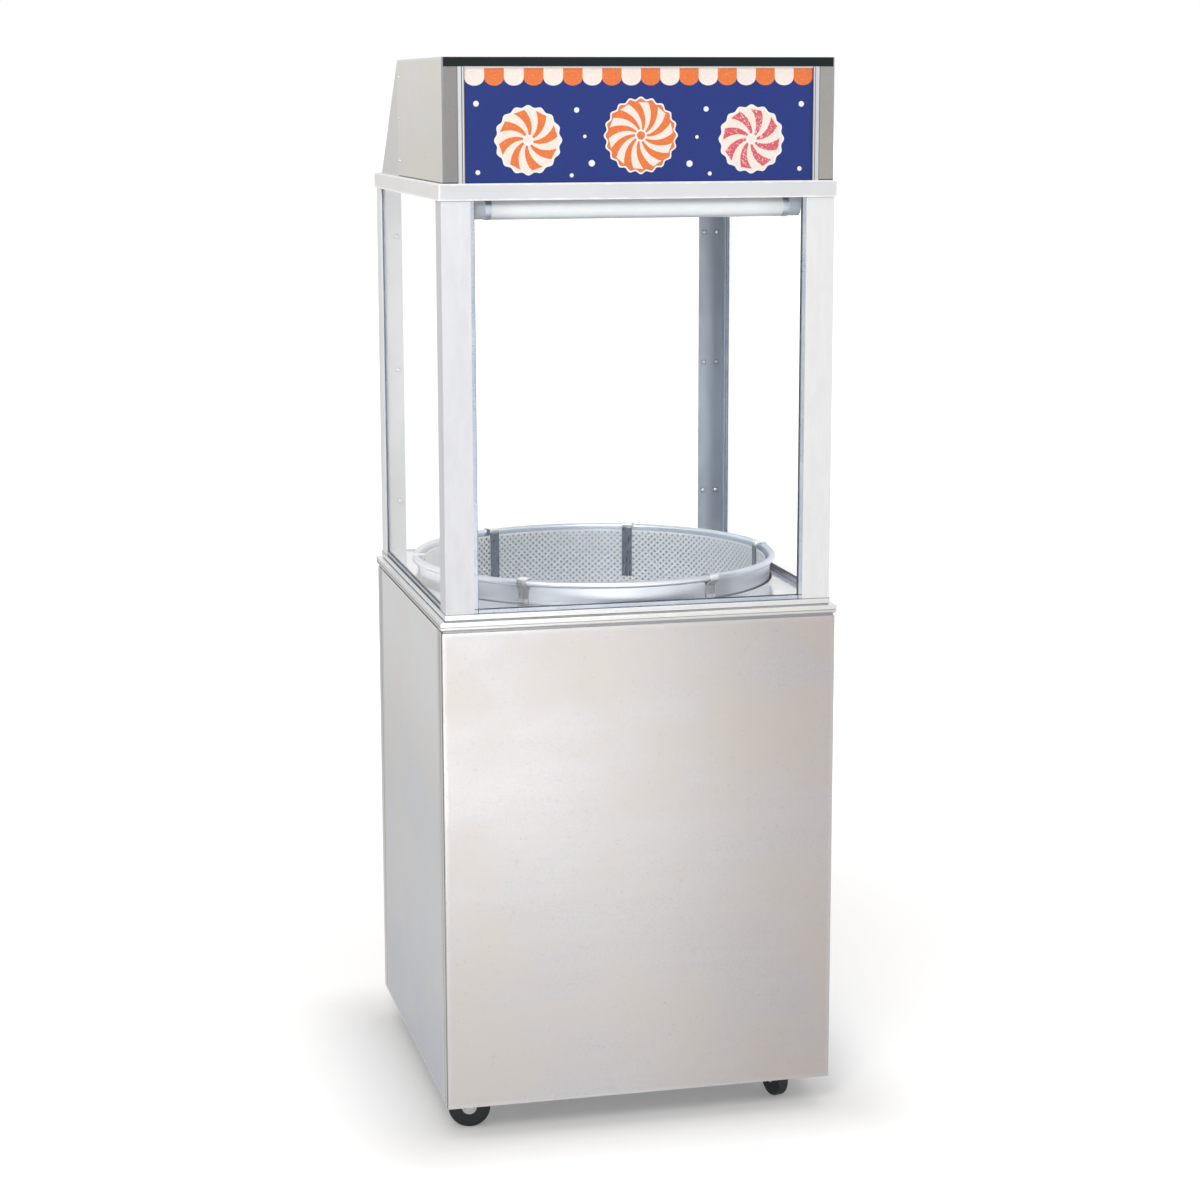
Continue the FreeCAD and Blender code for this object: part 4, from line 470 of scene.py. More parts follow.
# Painted shade: the pale left angle is darker on its rear leg, and the right angle is a blue-grey
# copy.
dress(drawn_angle("pale mill angle", (0.93, 0.935, 0.94), 0.42, 0.02, rivet_shade_rings, 0.0062,
                  [("y", REAR_LEG - 0.0008, REAR_LEG, (0.72, 0.74, 0.77))]), "post_rear_left")
dress(drawn_angle("mill angle", (0.42, 0.475, 0.54), 0.42, 0.05, rivet_shade_rings, 0.0062),
      "post_rear_right")
rivet_metal = plated("rivet aluminium", (0.90, 0.91, 0.92), 0.22)


def rivet(radius=0.0040):
    """A domed rivet head that sits on a sheet."""
    dome = [(0.0, 0.0), (radius, 0.0), (radius, radius * 0.12)]
    dome += [(radius * math.cos(a), radius * (0.12 + 0.5 * math.sin(a)))
             for a in (0.35, 0.7, 1.05, 1.3)]
    return lathe(dome + [(0.0, radius * 0.64)], 16)


POST_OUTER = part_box("post_rear_right")[1].y
stations = [((side * out, face, level), (0, way, 0))
            for side in (-1, 1) for level in RIVET_LEVELS for out in RIVET_OUT
            for face, way in ((POST_OUTER - POST_GAUGE, -1), (POST_OUTER, 1))]
made("post_rivets", repeated(rivet(), stations), rivet_metal, "cabinet")

# ---------------------------------------------------------------- glazing channels
# Aluminium U channels, 3/8 in wide, round each pane. They are darker and bluer than the posts, with
# a line of painted shade where they meet glass, deck and lid.

finish, tree, shader, place = bench("channel aluminium", 1.0)
lines = grain(tree, place, 260, 3)
smoke = grain(tree, place, 22, 3)
tint = blended(tree, lines, (0.50, 0.57, 0.67), (0.60, 0.66, 0.75))
tint = blended(tree, eased(tree, smoke, 0.4, 0.7), tint, (0.66, 0.71, 0.78))
CHANNEL_IN, CHANNEL_OUT, CHANNEL_LEVELS = 0.2895, 0.2990, (0.9641, 0.9546, 1.6832)
channel_shade_lines = [("x", CHANNEL_IN), ("x", CHANNEL_OUT), ("y", -CHANNEL_IN), ("y", CHANNEL_IN)]
channel_shade_lines += [("z", level) for level in CHANNEL_LEVELS]
surfaced(tree, shader, jointed(tree, place, tint, channel_shade_lines, joint_shade=0.85),
         eased(tree, lines, 0.3, 0.7, 0.26, 0.4))
raised(tree, shader, lines, 0.00003)
dress(finish, "glass_channels")

# ---------------------------------------------------------------- glass
# Three panes of float glass, held in the channels and open to the operator behind. They are
# wiped but never quite clean, with soft smears that only show where light grazes them.

finish, tree, shader, place = bench("float glass", Transmission_Weight=1.0, IOR=1.35)
shader.inputs["Base Color"].default_value = (0.988, 0.992, 0.994, 1)
smear = eased(tree, grain(tree, place, (10, 10, 5), 4, 0.6), 0.55, 0.8)
feed(tree, shader.inputs["Roughness"], calc(tree, "MULTIPLY", smear, 0.012))
clear = tree.nodes.new("ShaderNodeBsdfTransparent")
clear.inputs[0].default_value = (0.96, 0.975, 0.97, 1)
ray = tree.nodes.new("ShaderNodeLightPath")
through = tree.nodes.new("ShaderNodeMixShader")
feed(tree, through.inputs[0], calc(tree, "MAXIMUM", ray.outputs["Is Shadow Ray"],
                                   ray.outputs["Is Diffuse Ray"]))
tree.links.new(shader.outputs[0], through.inputs[1])
tree.links.new(clear.outputs[0], through.inputs[2])
tree.links.new(through.outputs[0], tree.nodes["Material Output"].inputs[0])
dress(finish, "glass_front", "glass_left", "glass_right")

# ---------------------------------------------------------------- case top
# A shallow folded lid, enamelled pale grey, that caps the posts and carries the sign box. Its skirt
# hangs over the glass, its edges are rubbed paler, and its side faces are painted paler, as painted
# light.


def enamel(name, colour, span, gloss=0.3, peel=0.00002, worn_to=None, worn=0.003, bands=(),
           coat=0.25):
    """Stoved paint on sheet: slight orange peel, uneven sheen, worn along its edges."""
    finish, tree, shader, place = bench(name, Coat_Weight=coat, Coat_Roughness=0.15,
                                        Specular_IOR_Level=2 * coat)
    skin, drift = grain(tree, place, 520, 2), grain(tree, place, 7, 3)
    base = blended(tree, eased(tree, drift, 0.35, 0.65), tone(colour, 0.975), tone(colour, 1.02))
    if worn_to:
        rubbed = near_edges(tree, place, span, worn, 0.6)
        base = blended(tree, calc(tree, "MULTIPLY", rubbed, 0.8), base, worn_to)
    surfaced(tree, shader, banded(tree, place, base, bands),
             eased(tree, drift, 0.3, 0.7, gloss, gloss + 0.12))
    raised(tree, shader, skin, peel)
    return finish


LID_SIDE = 0.3508
# Painted light: the lid's side faces are paler.
dress(enamel("case top enamel", (0.69, 0.70, 0.72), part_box("case_top"), 0.34,
             worn_to=(0.97, 0.97, 0.98), worn=0.0045,
             bands=[("x", LID_SIDE - 0.0013, LID_SIDE, (1.40, 1.37, 1.32))]), "case_top")

# ---------------------------------------------------------------- case lamp
# A fluorescent tube behind the top of the front glass: white powder inside clear glass, pressed
# aluminium caps at its ends, held in two grey snap-in sockets under the case top.

low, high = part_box("lamp_tube")
CAP_OUT = 0.2688
TUBE_Y, TUBE_Z, TUBE_R = (low.y + high.y) / 2, (low.z + high.z) / 2, (high.z - low.z) / 2
finish, tree, shader, place = bench("lamp powder", Coat_Weight=1.0, Coat_Roughness=0.05)
powder = grain(tree, place, 160, 3)
greyed = eased(tree, measured(tree, place, "x"), 0.20, 0.262)
base = blended(tree, powder, (0.76, 0.78, 0.81), (0.82, 0.83, 0.85))
base = blended(tree, calc(tree, "MULTIPLY", greyed, 0.5), base, (0.50, 0.52, 0.54))
# Painted shade: the underside of the tube is darker.
base = banded(tree, place, base, [("z", TUBE_Z - 0.6 * TUBE_R, TUBE_Z - TUBE_R,
                                   (0.5, 0.53, 0.58))])
feed(tree, shader.inputs["Base Color"], base)
feed(tree, shader.inputs["Emission Color"], base)
shader.inputs["Emission Strength"].default_value = 0.12
feed(tree, shader.inputs["Roughness"], eased(tree, powder, 0.3, 0.7, 0.35, 0.45))
dress(finish, "lamp_tube")

caps = [((side * CAP_OUT, TUBE_Y, TUBE_Z), (-side, 0, 0)) for side in (-1, 1)]
cap = lathe([(TUBE_R - 0.001, 0.0), (TUBE_R + 0.0004, 0.0006), (TUBE_R + 0.0005, 0.0095),
             (TUBE_R + 0.0001, 0.0112), (TUBE_R - 0.001, 0.0115)], 48)
made("lamp_caps", repeated(cap, caps), plated("cap aluminium", (0.44, 0.48, 0.55), 0.4),
     "cabinet")
dress(enamel("socket plastic", (0.42, 0.46, 0.52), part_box("lamp_holders"), 0.55), "lamp_holders")

# ---------------------------------------------------------------- sign box
# A folded steel box on the case top, with a sloping rear cover slid under its seam. The front
# corners turn round as plain borders for the sign, painted dark as shade, and a dark strip caps the
# sign's top edge. The right side is painted paler, as painted light, and lines of painted shade run
# along the box's foot and the mouldings.

FRONT_TURN, BOX_FOOT, BOX_SIDE, COVER_SIDE = -0.3474, 1.6939, 0.3442, 0.3430
MOULDING_LINES, BOX_RIVET_LEVELS = (0.3055, 0.3095, 0.3172), (1.722, 1.798, 1.872)
# Painted light and shade: dark front borders, a paler right side, and a line of painted shade along
# the box's foot.
dress(satin_sheet("sign box steel", (0.77, 0.76, 0.73), "z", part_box("header_shell"), 0.40, 0.006,
                  warm=(1.03, 1.0, 0.97),
                  bands=[("y", FRONT_TURN, FRONT_TURN - 0.0010, (0.40, 0.40, 0.41)),
                         ("X", 0.0, 0.30, (1.38, 1.38, 1.34))],
                  joints=[("z", BOX_FOOT)], reach=0.003, joint_shade=0.9), "header_shell")
dress(satin_sheet("rear cover steel", (0.72, 0.715, 0.70), "z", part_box("header_rear_cover"), 0.42,
                  0.006, bands=[("x", COVER_SIDE, COVER_SIDE - 0.0015, (0.74, 0.745, 0.75))]),
      "header_rear_cover")
dress(enamel("strip enamel", (0.008, 0.014, 0.018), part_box("header_strip"), 0.5,
             worn_to=(0.06, 0.07, 0.07), worn=0.0010, coat=0.08), "header_strip")
dress(enamel("ballast enamel", (0.03, 0.03, 0.035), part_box("lamp_ballast"), 0.4), "lamp_ballast")
# Lines of painted shade along the mouldings' edges.
dress(drawn_angle("sign moulding aluminium", (0.80, 0.81, 0.83), 0.3, 0.05,
                  [("x", line) for line in MOULDING_LINES]), "sign_mouldings")

cover_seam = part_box("header_rear_cover")[0].y
stations = [((side * BOX_SIDE, cover_seam - 0.012, level), (side, 0, 0))
            for side in (-1, 1) for level in BOX_RIVET_LEVELS]
made("sign_box_rivets", repeated(rivet(0.0026), stations), rivet_metal, "cabinet")

# ---------------------------------------------------------------- sign
# A printed acrylic sheet slid between two mouldings: a navy ground with a striped valance, three
# pinwheels and small dots, screen-printed in orange, cream and pink. No lettering.

finish, tree, shader, place = bench("sign navy", Specular_IOR_Level=0.25)
ink = grain(tree, place, 380, 3)
drift = grain(tree, place, 9, 2)
base = blended(tree, ink, (0.016, 0.034, 0.185), (0.022, 0.042, 0.215))
base = blended(tree, calc(tree, "MULTIPLY", drift, 0.3), base, (0.026, 0.052, 0.24))
surfaced(tree, shader, base, eased(tree, ink, 0.3, 0.7, 0.3, 0.42))
dress(finish, "sign_panel")


def printed(name, colour, speckle, speckles):
    """Screen ink: flat colour with a fine speckle of a second ink in it."""
    finish, tree, shader, place = bench(name, Coat_Weight=0.4, Coat_Roughness=0.12)
    dots = eased(tree, grain(tree, place, 420, 2), speckles, speckles + 0.05)
    feed(tree, shader.inputs["Base Color"], blended(tree, dots, colour, speckle))
    sheen = grain(tree, place, 60, 2)
    feed(tree, shader.inputs["Roughness"], eased(tree, sheen, 0.3, 0.7, 0.35, 0.5))
    return finish


INKS = {"orange": printed("orange ink", (0.78, 0.17, 0.030), (0.86, 0.26, 0.06), 0.60),
        "cream": printed("cream ink", (0.88, 0.76, 0.68), (0.92, 0.84, 0.79), 0.55),
        "pink": printed("pink ink", (0.66, 0.09, 0.12), (0.88, 0.62, 0.58), 0.58),
        "white": printed("white ink", (0.86, 0.86, 0.86), (0.82, 0.82, 0.84), 0.6)}
SIGN_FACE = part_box("sign_panel")[0].y
SIGN_HIGH, SIGN_HALF, VALANCE, LOBE_DROP, TOP_LINE = 1.8846, 0.3045, 0.016, 0.013, 0.0022
shapes = {ink: bmesh.new() for ink in INKS}


def stamp(ink, outline, coat):
    """Prints one closed outline of (x, z) points; a later coat lies over an earlier one."""
    shape, y = shapes[ink], SIGN_FACE - 0.00012 * coat
    rim = [shape.verts.new((x, y, z)) for x, z in outline]
    back = [shape.verts.new((x, SIGN_FACE, z)) for x, z in outline]
    shape.faces.new(rim)
    for k in range(len(rim)):
        near = (k + 1) % len(rim)
        shape.faces.new((rim[k], rim[near], back[near], back[k]))


def disc(x, z, radius, count=48):
    """A plain round outline."""
    return [(x + radius * math.cos(math.tau * k / count),
             z + radius * math.sin(math.tau * k / count)) for k in range(count)]


def scalloped(x, z, radius, lobes):
    """A round with soft lobes, like a rosette."""
    outline = []
    for k in range(lobes * 8):
        angle = math.tau * k / (lobes * 8)
        out = radius * (1 + 0.035 * math.cos(lobes * angle))
        outline.append((x + out * math.cos(angle), z + out * math.sin(angle)))
    return outline


def pinwheel(x, z, radius, blades, ground, vane, turn):
    """A rosette whose vanes curve out from a round button."""
    stamp("white", scalloped(x, z, radius * 1.05, blades * 2), 1)
    stamp(ground, scalloped(x, z, radius, blades * 2), 2)
    for blade in range(blades):
        outline = []
        for edge, way in ((0.0, range(9)), (0.5, range(8, -1, -1))):
            for step in way:
                out = 0.14 + 0.80 * step / 8
                angle = math.tau * (blade + edge) / blades + turn + 0.75 * out
                outline.append((x + radius * out * math.cos(angle),
                                z + radius * out * math.sin(angle)))
        stamp(vane, outline, 3)
    stamp("white", disc(x, z, radius * 0.17), 4)
    stamp(ground, disc(x, z, radius * 0.12), 5)


STRIPES = 18
SCALLOP = 2 * SIGN_HALF / STRIPES
for k in range(STRIPES):
    left = -SIGN_HALF + k * SCALLOP
    half_round = [(left + SCALLOP / 2 + SCALLOP / 2 * math.cos(math.pi * j / 12),
                   SIGN_HIGH - VALANCE - LOBE_DROP * math.sin(math.pi * j / 12))
                  for j in range(13)]
    stamp("orange" if k % 2 else "cream",
          [(left + SCALLOP, SIGN_HIGH)] + half_round + [(left, SIGN_HIGH)], 1)
pinwheel(-0.196, 1.765, 0.054, 8, "cream", "orange", 0.2)
pinwheel(0.0, 1.772, 0.060, 10, "orange", "cream", 0.0)
pinwheel(0.196, 1.765, 0.054, 8, "cream", "pink", 0.5)
DOTS = ((-0.285, 1.826, 0.0048), (-0.112, 1.815, 0.0045), (-0.086, 1.726, 0.0055),
        (-0.121, 1.706, 0.0035), (0.086, 1.724, 0.0055), (0.115, 1.816, 0.0045),
        (0.122, 1.707, 0.0035), (0.285, 1.824, 0.0048), (-0.283, 1.712, 0.004),
        (0.283, 1.714, 0.004), (-0.098, 1.771, 0.003), (0.099, 1.769, 0.003))
for x, z, radius in DOTS:
    stamp("white", disc(x, z, radius, 20), 1)
stamp("white", [(-SIGN_HALF, SIGN_HIGH), (SIGN_HALF, SIGN_HIGH),
                (SIGN_HALF, SIGN_HIGH + TOP_LINE), (-SIGN_HALF, SIGN_HIGH + TOP_LINE)], 2)
for ink, shape in shapes.items():
    bmesh.ops.recalc_face_normals(shape, faces=shape.faces)
    made("sign_print_" + ink, shape, INKS[ink], "cabinet")

# ---------------------------------------------------------------- pan
# Spun aluminium, 26 in across, with a rolled rim. The spinning tool leaves fine rings round the
# wall and floor. The rim is paler from its foot up, and the wall behind the net is a little bluer.


def spun_metal(name, colour, dull=0.30, ring_pitch=900.0, depth=0.00004, cloud=0.06, metal=1.0,
               inside=None, bands=()):
    """Metal turned about the machine's middle: rings round it, clouds drawn out along them."""
    finish, tree, shader, place = bench(name, metal)
    x, y, z = axes(tree, place)
    out = calc(tree, "SQRT", calc(tree, "ADD", calc(tree, "MULTIPLY", x, x),
                                  calc(tree, "MULTIPLY", y, y)))
    round_it = tree.nodes.new("ShaderNodeCombineXYZ")
    feed(tree, round_it.inputs[0], calc(tree, "MULTIPLY", out, ring_pitch))
    feed(tree, round_it.inputs[1], calc(tree, "MULTIPLY", calc(tree, "ARCTAN2", y, x), 3.0))
    feed(tree, round_it.inputs[2], calc(tree, "MULTIPLY", z, ring_pitch))
    rings = grain(tree, round_it.outputs[0], 1.0, 3, 0.6)
    clouds = grain(tree, place, (7, 7, 22), 4, 0.6)
    base = blended(tree, rings, tone(colour, 0.93), tone(colour, 1.05))
    base = blended(tree, eased(tree, clouds, 0.36, 0.68), base, tone(colour, 1 - cloud))
    if inside:
        base = blended(tree, eased(tree, out, inside[0] + 0.001, inside[0]), base, inside[1],
                       "MULTIPLY")
    surfaced(tree, shader, banded(tree, place, base, bands),
             eased(tree, clouds, 0.3, 0.7, dull, dull + 0.12))
    raised(tree, shader, rings, depth)
    return finish


PAN_WALL, RIM_FOOT, RIM_MIDDLE = 0.3265, 0.9890, 0.9935
dress(spun_metal("pan aluminium", (0.72, 0.75, 0.81), 0.34, inside=(PAN_WALL, (0.98, 1.03, 1.06)),
                 bands=[("z", RIM_FOOT, RIM_MIDDLE, (1.14, 1.14, 1.15))]), "pan")

# ---------------------------------------------------------------- floss net
# A band of expanded aluminium that the floss clings to: sheet slit in staggered rows and drawn
# open, so that each strand leans a little. It keeps the milky skin of its caustic wash.

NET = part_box("pan_net")
NET_GAUGE, NET_LEAN = 0.0009, 0.0010
NET_RADIUS = NET[1].x - 0.0006
AROUND, ROWS = 158, 11
# A diamond is 16 steps round and 16 up. Its eye reaches 4 of the 8 steps from its middle.
WHOLE, HALF, EYE = 16, 8, 4
step_round, step_up = math.tau / AROUND / WHOLE, (NET[1].z - NET[0].z) / ROWS / WHOLE
net = bmesh.new()
corners = {}


def net_corner(steps_round, steps_up, lean):
    """A shared corner of the net, leaning out, in or not at all."""
    key = (steps_round % (AROUND * WHOLE), steps_up, lean)
    if key not in corners:
        angle, radius = steps_round * step_round, NET_RADIUS + lean * NET_LEAN
        corners[key] = net.verts.new((radius * math.cos(angle), radius * math.sin(angle),
                                      NET[0].z + steps_up * step_up))
    return corners[key]


for row in range(2 * ROWS - 1):
    for column in range(AROUND):
        a, b = column * WHOLE + row % 2 * HALF, (row + 1) * HALF
        outer = [net_corner(a + HALF, b, 0), net_corner(a, b + HALF, 0),
                 net_corner(a - HALF, b, 0), net_corner(a, b - HALF, 0)]
        inner = [net_corner(a + EYE, b, 0), net_corner(a, b + EYE, 1),
                 net_corner(a - EYE, b, 0), net_corner(a, b - EYE, -1)]
        for k in range(4):
            near = (k + 1) % 4
            net.faces.new((outer[k], outer[near], inner[near], inner[k]))
for column in range(AROUND):
    a = column * WHOLE
    for level, way in ((0, 1), (ROWS * WHOLE, -1)):
        left, tip, right = (net_corner(a - HALF, level + HALF * way, 0), net_corner(a, level, 0),
                            net_corner(a + HALF, level + HALF * way, 0))
        net.faces.new((left, tip, net_corner(a - HALF, level, 0)))
        net.faces.new((tip, right, net_corner(a + HALF, level, 0)))
bmesh.ops.recalc_face_normals(net, faces=net.faces)
net_metal = spun_metal("net aluminium", (0.96, 0.97, 0.98), 0.40, 500.0, 0.00002, 0.02, 0.0)
piece = made("floss_net", net, net_metal, "cabinet")
thick = piece.modifiers.new("sheet", "SOLIDIFY")
thick.thickness, thick.offset = NET_GAUGE, 0.0
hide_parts("pan_net")

# ---------------------------------------------------------------- spring clips
# Six strips of blue-tempered spring steel hooked over the rim to hold the net to the wall. Outside
# the rim they are painted pale, as a painted reflection; inside it they are blued and darker, with
# painted shade; their crowns carry a painted highlight.

finish, tree, shader, place = bench("spring steel", 1.0)
lines = grain(tree, place, (500, 500, 60), 3)
blued_painted_shade = blended(tree, lines, (0.17, 0.20, 0.24), (0.26, 0.29, 0.34))
pale_painted_reflection = blended(tree, lines, (0.52, 0.54, 0.57), (0.66, 0.67, 0.69))
out = across(tree, "LENGTH", across(tree, "MULTIPLY", place, (1, 1, 0)))
CLIP_FOLD, CROWN_FOOT, CROWN_TOP = 0.3262, 0.990, 0.9985
tint = blended(tree, eased(tree, out, CLIP_FOLD, CLIP_FOLD + 0.0010), blued_painted_shade, pale_painted_reflection)
# Painted highlight: the crowns are near white.
crown = eased(tree, measured(tree, place, "z"), CROWN_FOOT, CROWN_TOP)
surfaced(tree, shader, blended(tree, crown, tint, (0.97, 0.97, 0.97)),
         eased(tree, lines, 0.3, 0.7, 0.25, 0.38))
raised(tree, shader, lines, 0.00003)
dress(finish, "net_clips")

# ---------------------------------------------------------------- motor, brushes and shaft
# The motor hangs under the shelf on four rubber isolators, painted hammer grey. A brass slip
# ring pair above it takes current to the head from two carbon brushes in a moulded block.

dress(enamel("motor enamel", (0.10, 0.11, 0.125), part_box("motor"), 0.38, 0.00012,
             worn_to=(0.3, 0.31, 0.32)), "motor")


def moulded(name, colour, dull, specks=0.5, pebble=0.00004):
    """Rubber or moulded plastic: a dull pebbled skin with a trace of dust."""
    finish, tree, shader, place = bench(name)
    skin = grain(tree, place, 900, 2)
    dust = eased(tree, grain(tree, place, 45, 4, 0.65), 0.5, 0.8)
    base = blended(tree, skin, tone(colour, 0.85), tone(colour, 1.12))
    dusty = tuple(part + 0.06 for part in colour)
    surfaced(tree, shader, blended(tree, calc(tree, "MULTIPLY", dust, specks), base, dusty),
             eased(tree, dust, 0, 1, dull, min(dull + 0.2, 0.95)))
    raised(tree, shader, skin, pebble)
    return finish


dress(moulded("isolator rubber", (0.020, 0.020, 0.021), 0.7), "motor_isolators")
dress(moulded("brush block", (0.16, 0.075, 0.035), 0.45), "brush_holder")
dress(spun_metal("ground shaft", (0.56, 0.57, 0.59), 0.16, 2400.0, 0.00001, 0.04), "spinner_shaft")
dress(spun_metal("ring brass", (0.62, 0.42, 0.14), 0.20, 1800.0, 0.00002, 0.12), "slip_rings")

# ---------------------------------------------------------------- sugar head
# A cast and turned aluminium bowl and cap round a slotted heater band, spun on the shaft. Sugar
# has browned the band and left an amber bloom where it melts out.

dress(spun_metal("head aluminium", (0.60, 0.61, 0.62), 0.22, 1500.0, 0.00003, 0.1),
      "head_bowl", "head_cap")
finish, tree, shader, place = bench("heater ribbon", 1.0)
scale = grain(tree, place, 240, 4, 0.65)
burnt = eased(tree, grain(tree, place, 60, 3), 0.4, 0.65)
tint = blended(tree, scale, (0.22, 0.20, 0.19), (0.36, 0.33, 0.30))
surfaced(tree, shader, blended(tree, burnt, tint, (0.34, 0.20, 0.09)),
         eased(tree, scale, 0.3, 0.7, 0.35, 0.6))
raised(tree, shader, scale, 0.0001)
dress(finish, "heater_band")

# ---------------------------------------------------------------- rear door and hinges
# A folded stainless door with vent slots, on two butt hinges, with a turn latch. The hinge
# leaves are screwed to the upright and the door with pan head screws.

dress(satin_sheet("door steel", (0.55, 0.555, 0.56), "z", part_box("rear_door"), 0.36), "rear_door")
dress(zinc, "hinge_frame_leaves", "hinge_door_leaves")
chrome = plated("chrome plate", (0.66, 0.67, 0.68), 0.12)
dress(chrome, "door_latch")


def cross_screw(radius=0.0042, height=0.0017):
    """A pan head screw with a cross recess cut into its crown."""
    head = lathe([(0.0, 0.0), (radius, 0.0), (radius, height * 0.35), (radius * 0.86, height * 0.8),
                  (radius * 0.6, height), (0.0, height)], 24)
    top = [face for face in head.faces if face.calc_center_median().z > height * 0.9]
    bmesh.ops.delete(head, geom=top, context="FACES")
    crown = sorted([vert for vert in head.verts if vert.link_edges and
                    abs(vert.co.z - height) < 1e-6 and vert.co.xy.length > radius * 0.3],
                   key=lambda vert: math.atan2(vert.co.y, vert.co.x))
    bmesh.ops.delete(head, geom=[vert for vert in head.verts if not vert.link_faces],
                     context="VERTS")
    arm, tip = radius * 0.11, radius * 0.45
    star = [(tip, -arm), (tip, arm), (arm, arm), (arm, tip), (-arm, tip), (-arm, arm),
            (-tip, arm), (-tip, -arm), (-arm, -arm), (-arm, -tip), (arm, -tip), (arm, -arm)]
    mouth = [head.verts.new((x, y, height)) for x, y in star]
    floor = [head.verts.new((x * 0.8, y * 0.8, height * 0.35)) for x, y in star]
    for k in range(12):
        near = (k + 1) % 12
        head.faces.new((mouth[k], mouth[near], floor[near], floor[k]))
    head.faces.new(floor)
    edges = [head.edges.get((crown[k], crown[(k + 1) % len(crown)])) for k in range(len(crown))]
    edges += [head.edges.get((mouth[k], mouth[(k + 1) % 12])) for k in range(12)]
    bmesh.ops.triangle_fill(head, edges=edges, use_beauty=True)
    bmesh.ops.recalc_face_normals(head, faces=head.faces)
    return head


LEAF_GAUGE, FRAME_LEAF_X, DOOR_LEAF_X = 0.0015, 0.3235, 0.2850
HINGE_FEET, SCREW_RISES = (0.136, 0.508), (0.012, 0.032, 0.052)
LEAF_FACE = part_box("hinge_frame_leaves")[0].y + LEAF_GAUGE
for name, leaf_x, body in (("hinge_frame_screws", FRAME_LEAF_X, "cabinet"),
                           ("hinge_door_screws", DOOR_LEAF_X, "rear_door")):
    stations = [((leaf_x, LEAF_FACE, foot + rise), (0, 1, 0))
                for foot in HINGE_FEET for rise in SCREW_RISES]
    made(name, repeated(cross_screw(), stations), zinc, body, 30)

# ---------------------------------------------------------------- control panel
# A folded plate above the door with three rocker switches, a heat knob over its printed scale,
# an amber pilot lamp and the power lead's gland.

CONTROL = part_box("control_panel")
SCREW_X, SCREW_LEVELS = 0.290, (0.660, 0.786, 0.912)
dress(satin_sheet("control plate steel", (0.56, 0.56, 0.565), "x", CONTROL, 0.34), "control_panel")
stations = [((side * SCREW_X, CONTROL[1].y, level), (0, 1, 0))
            for side in (-1, 1) for level in SCREW_LEVELS]
made("control_panel_screws", repeated(cross_screw(), stations), zinc, "cabinet", 30)
dress(moulded("switch housing", (0.020, 0.020, 0.022), 0.4, 0.2), "switch_housings")
dress(moulded("motor rocker", (0.44, 0.025, 0.02), 0.32, 0.1, 0.00001), "motor_switch")
dress(moulded("plain rockers", (0.022, 0.022, 0.024), 0.32, 0.1, 0.00001),
      "heat_switch", "light_switch")
dress(moulded("knob black", (0.018, 0.018, 0.019), 0.35, 0.2), "heat_knob")
dress(moulded("gland nylon", (0.030, 0.030, 0.031), 0.45, 0.3), "cord_gland")
dress(moulded("heat control body", (0.20, 0.09, 0.04), 0.5), "heat_control")

finish, tree, shader, place = bench("pilot amber", Transmission_Weight=0.35, IOR=1.49,
                                    Coat_Weight=0.8, Coat_Roughness=0.04)
cells = tree.nodes.new("ShaderNodeTexVoronoi")
cells.inputs["Scale"].default_value = 900.0
feed(tree, cells.inputs["Vector"], place)
feed(tree, shader.inputs["Base Color"], blended(tree, cells.outputs[0], (0.85, 0.24, 0.02),
                                                (0.95, 0.42, 0.06)))
shader.inputs["Roughness"].default_value = 0.12
raised(tree, shader, cells.outputs[0], 0.0003)
dress(finish, "pilot_lamp")

dial_ink = printed("dial ink", (0.015, 0.015, 0.018), (0.04, 0.04, 0.045), 0.62)
KNOB_X, KNOB_Z, PLATE_FACE = -0.040, 0.726, CONTROL[1].y
MARK_OUT, MARK_LONG, MARK_WIDE, DIGIT_OUT, DIGIT_HIGH = 0.0245, 0.0042, 0.0009, 0.0315, 0.0062
INK_THICK = 0.00012
SCALE_ANGLES = [math.radians(90 - step * 30) for step in range(10)]
scale_marks = bmesh.new()


def painted_bar(x, z, way):
    """A filled line on the control plate, way being its angle from +X towards +Z."""
    along = Vector((math.cos(way), 0, math.sin(way))) * MARK_LONG / 2
    side = Vector((-math.sin(way), 0, math.cos(way))) * MARK_WIDE / 2
    middle = Vector((x, PLATE_FACE + INK_THICK, z))
    rim = [middle + along * a + side * b for a, b in ((-1, -1), (1, -1), (1, 1), (-1, 1))]
    front = [scale_marks.verts.new(p) for p in rim]
    back = [scale_marks.verts.new(p - Vector((0, INK_THICK, 0))) for p in rim]
    scale_marks.faces.new(front)
    for k in range(4):
        near = (k + 1) % 4
        scale_marks.faces.new((front[k], front[near], back[near], back[k]))


for angle in SCALE_ANGLES:
    painted_bar(KNOB_X - MARK_OUT * math.cos(angle), KNOB_Z + MARK_OUT * math.sin(angle),
                math.pi - angle)
bmesh.ops.recalc_face_normals(scale_marks, faces=scale_marks.faces)
made("heat_scale_marks", scale_marks, dial_ink, "cabinet")

for step, angle in enumerate(SCALE_ANGLES):
    words = bpy.data.curves.new(f"digit {step}", "FONT")
    words.body, words.size, words.extrude = str(step), DIGIT_HIGH, 0.00008
    words.align_x, words.align_y = "CENTER", "CENTER"
    words.materials.append(dial_ink)
    digit = bpy.data.objects.new(f"heat_scale_{step}", words)
    bpy.context.scene.collection.objects.link(digit)
    digit.location = (KNOB_X - DIGIT_OUT * math.cos(angle), PLATE_FACE + 0.0001,
                      KNOB_Z + DIGIT_OUT * math.sin(angle))
    digit.rotation_euler = (math.pi / 2, 0, math.pi)
    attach(digit, "cabinet")

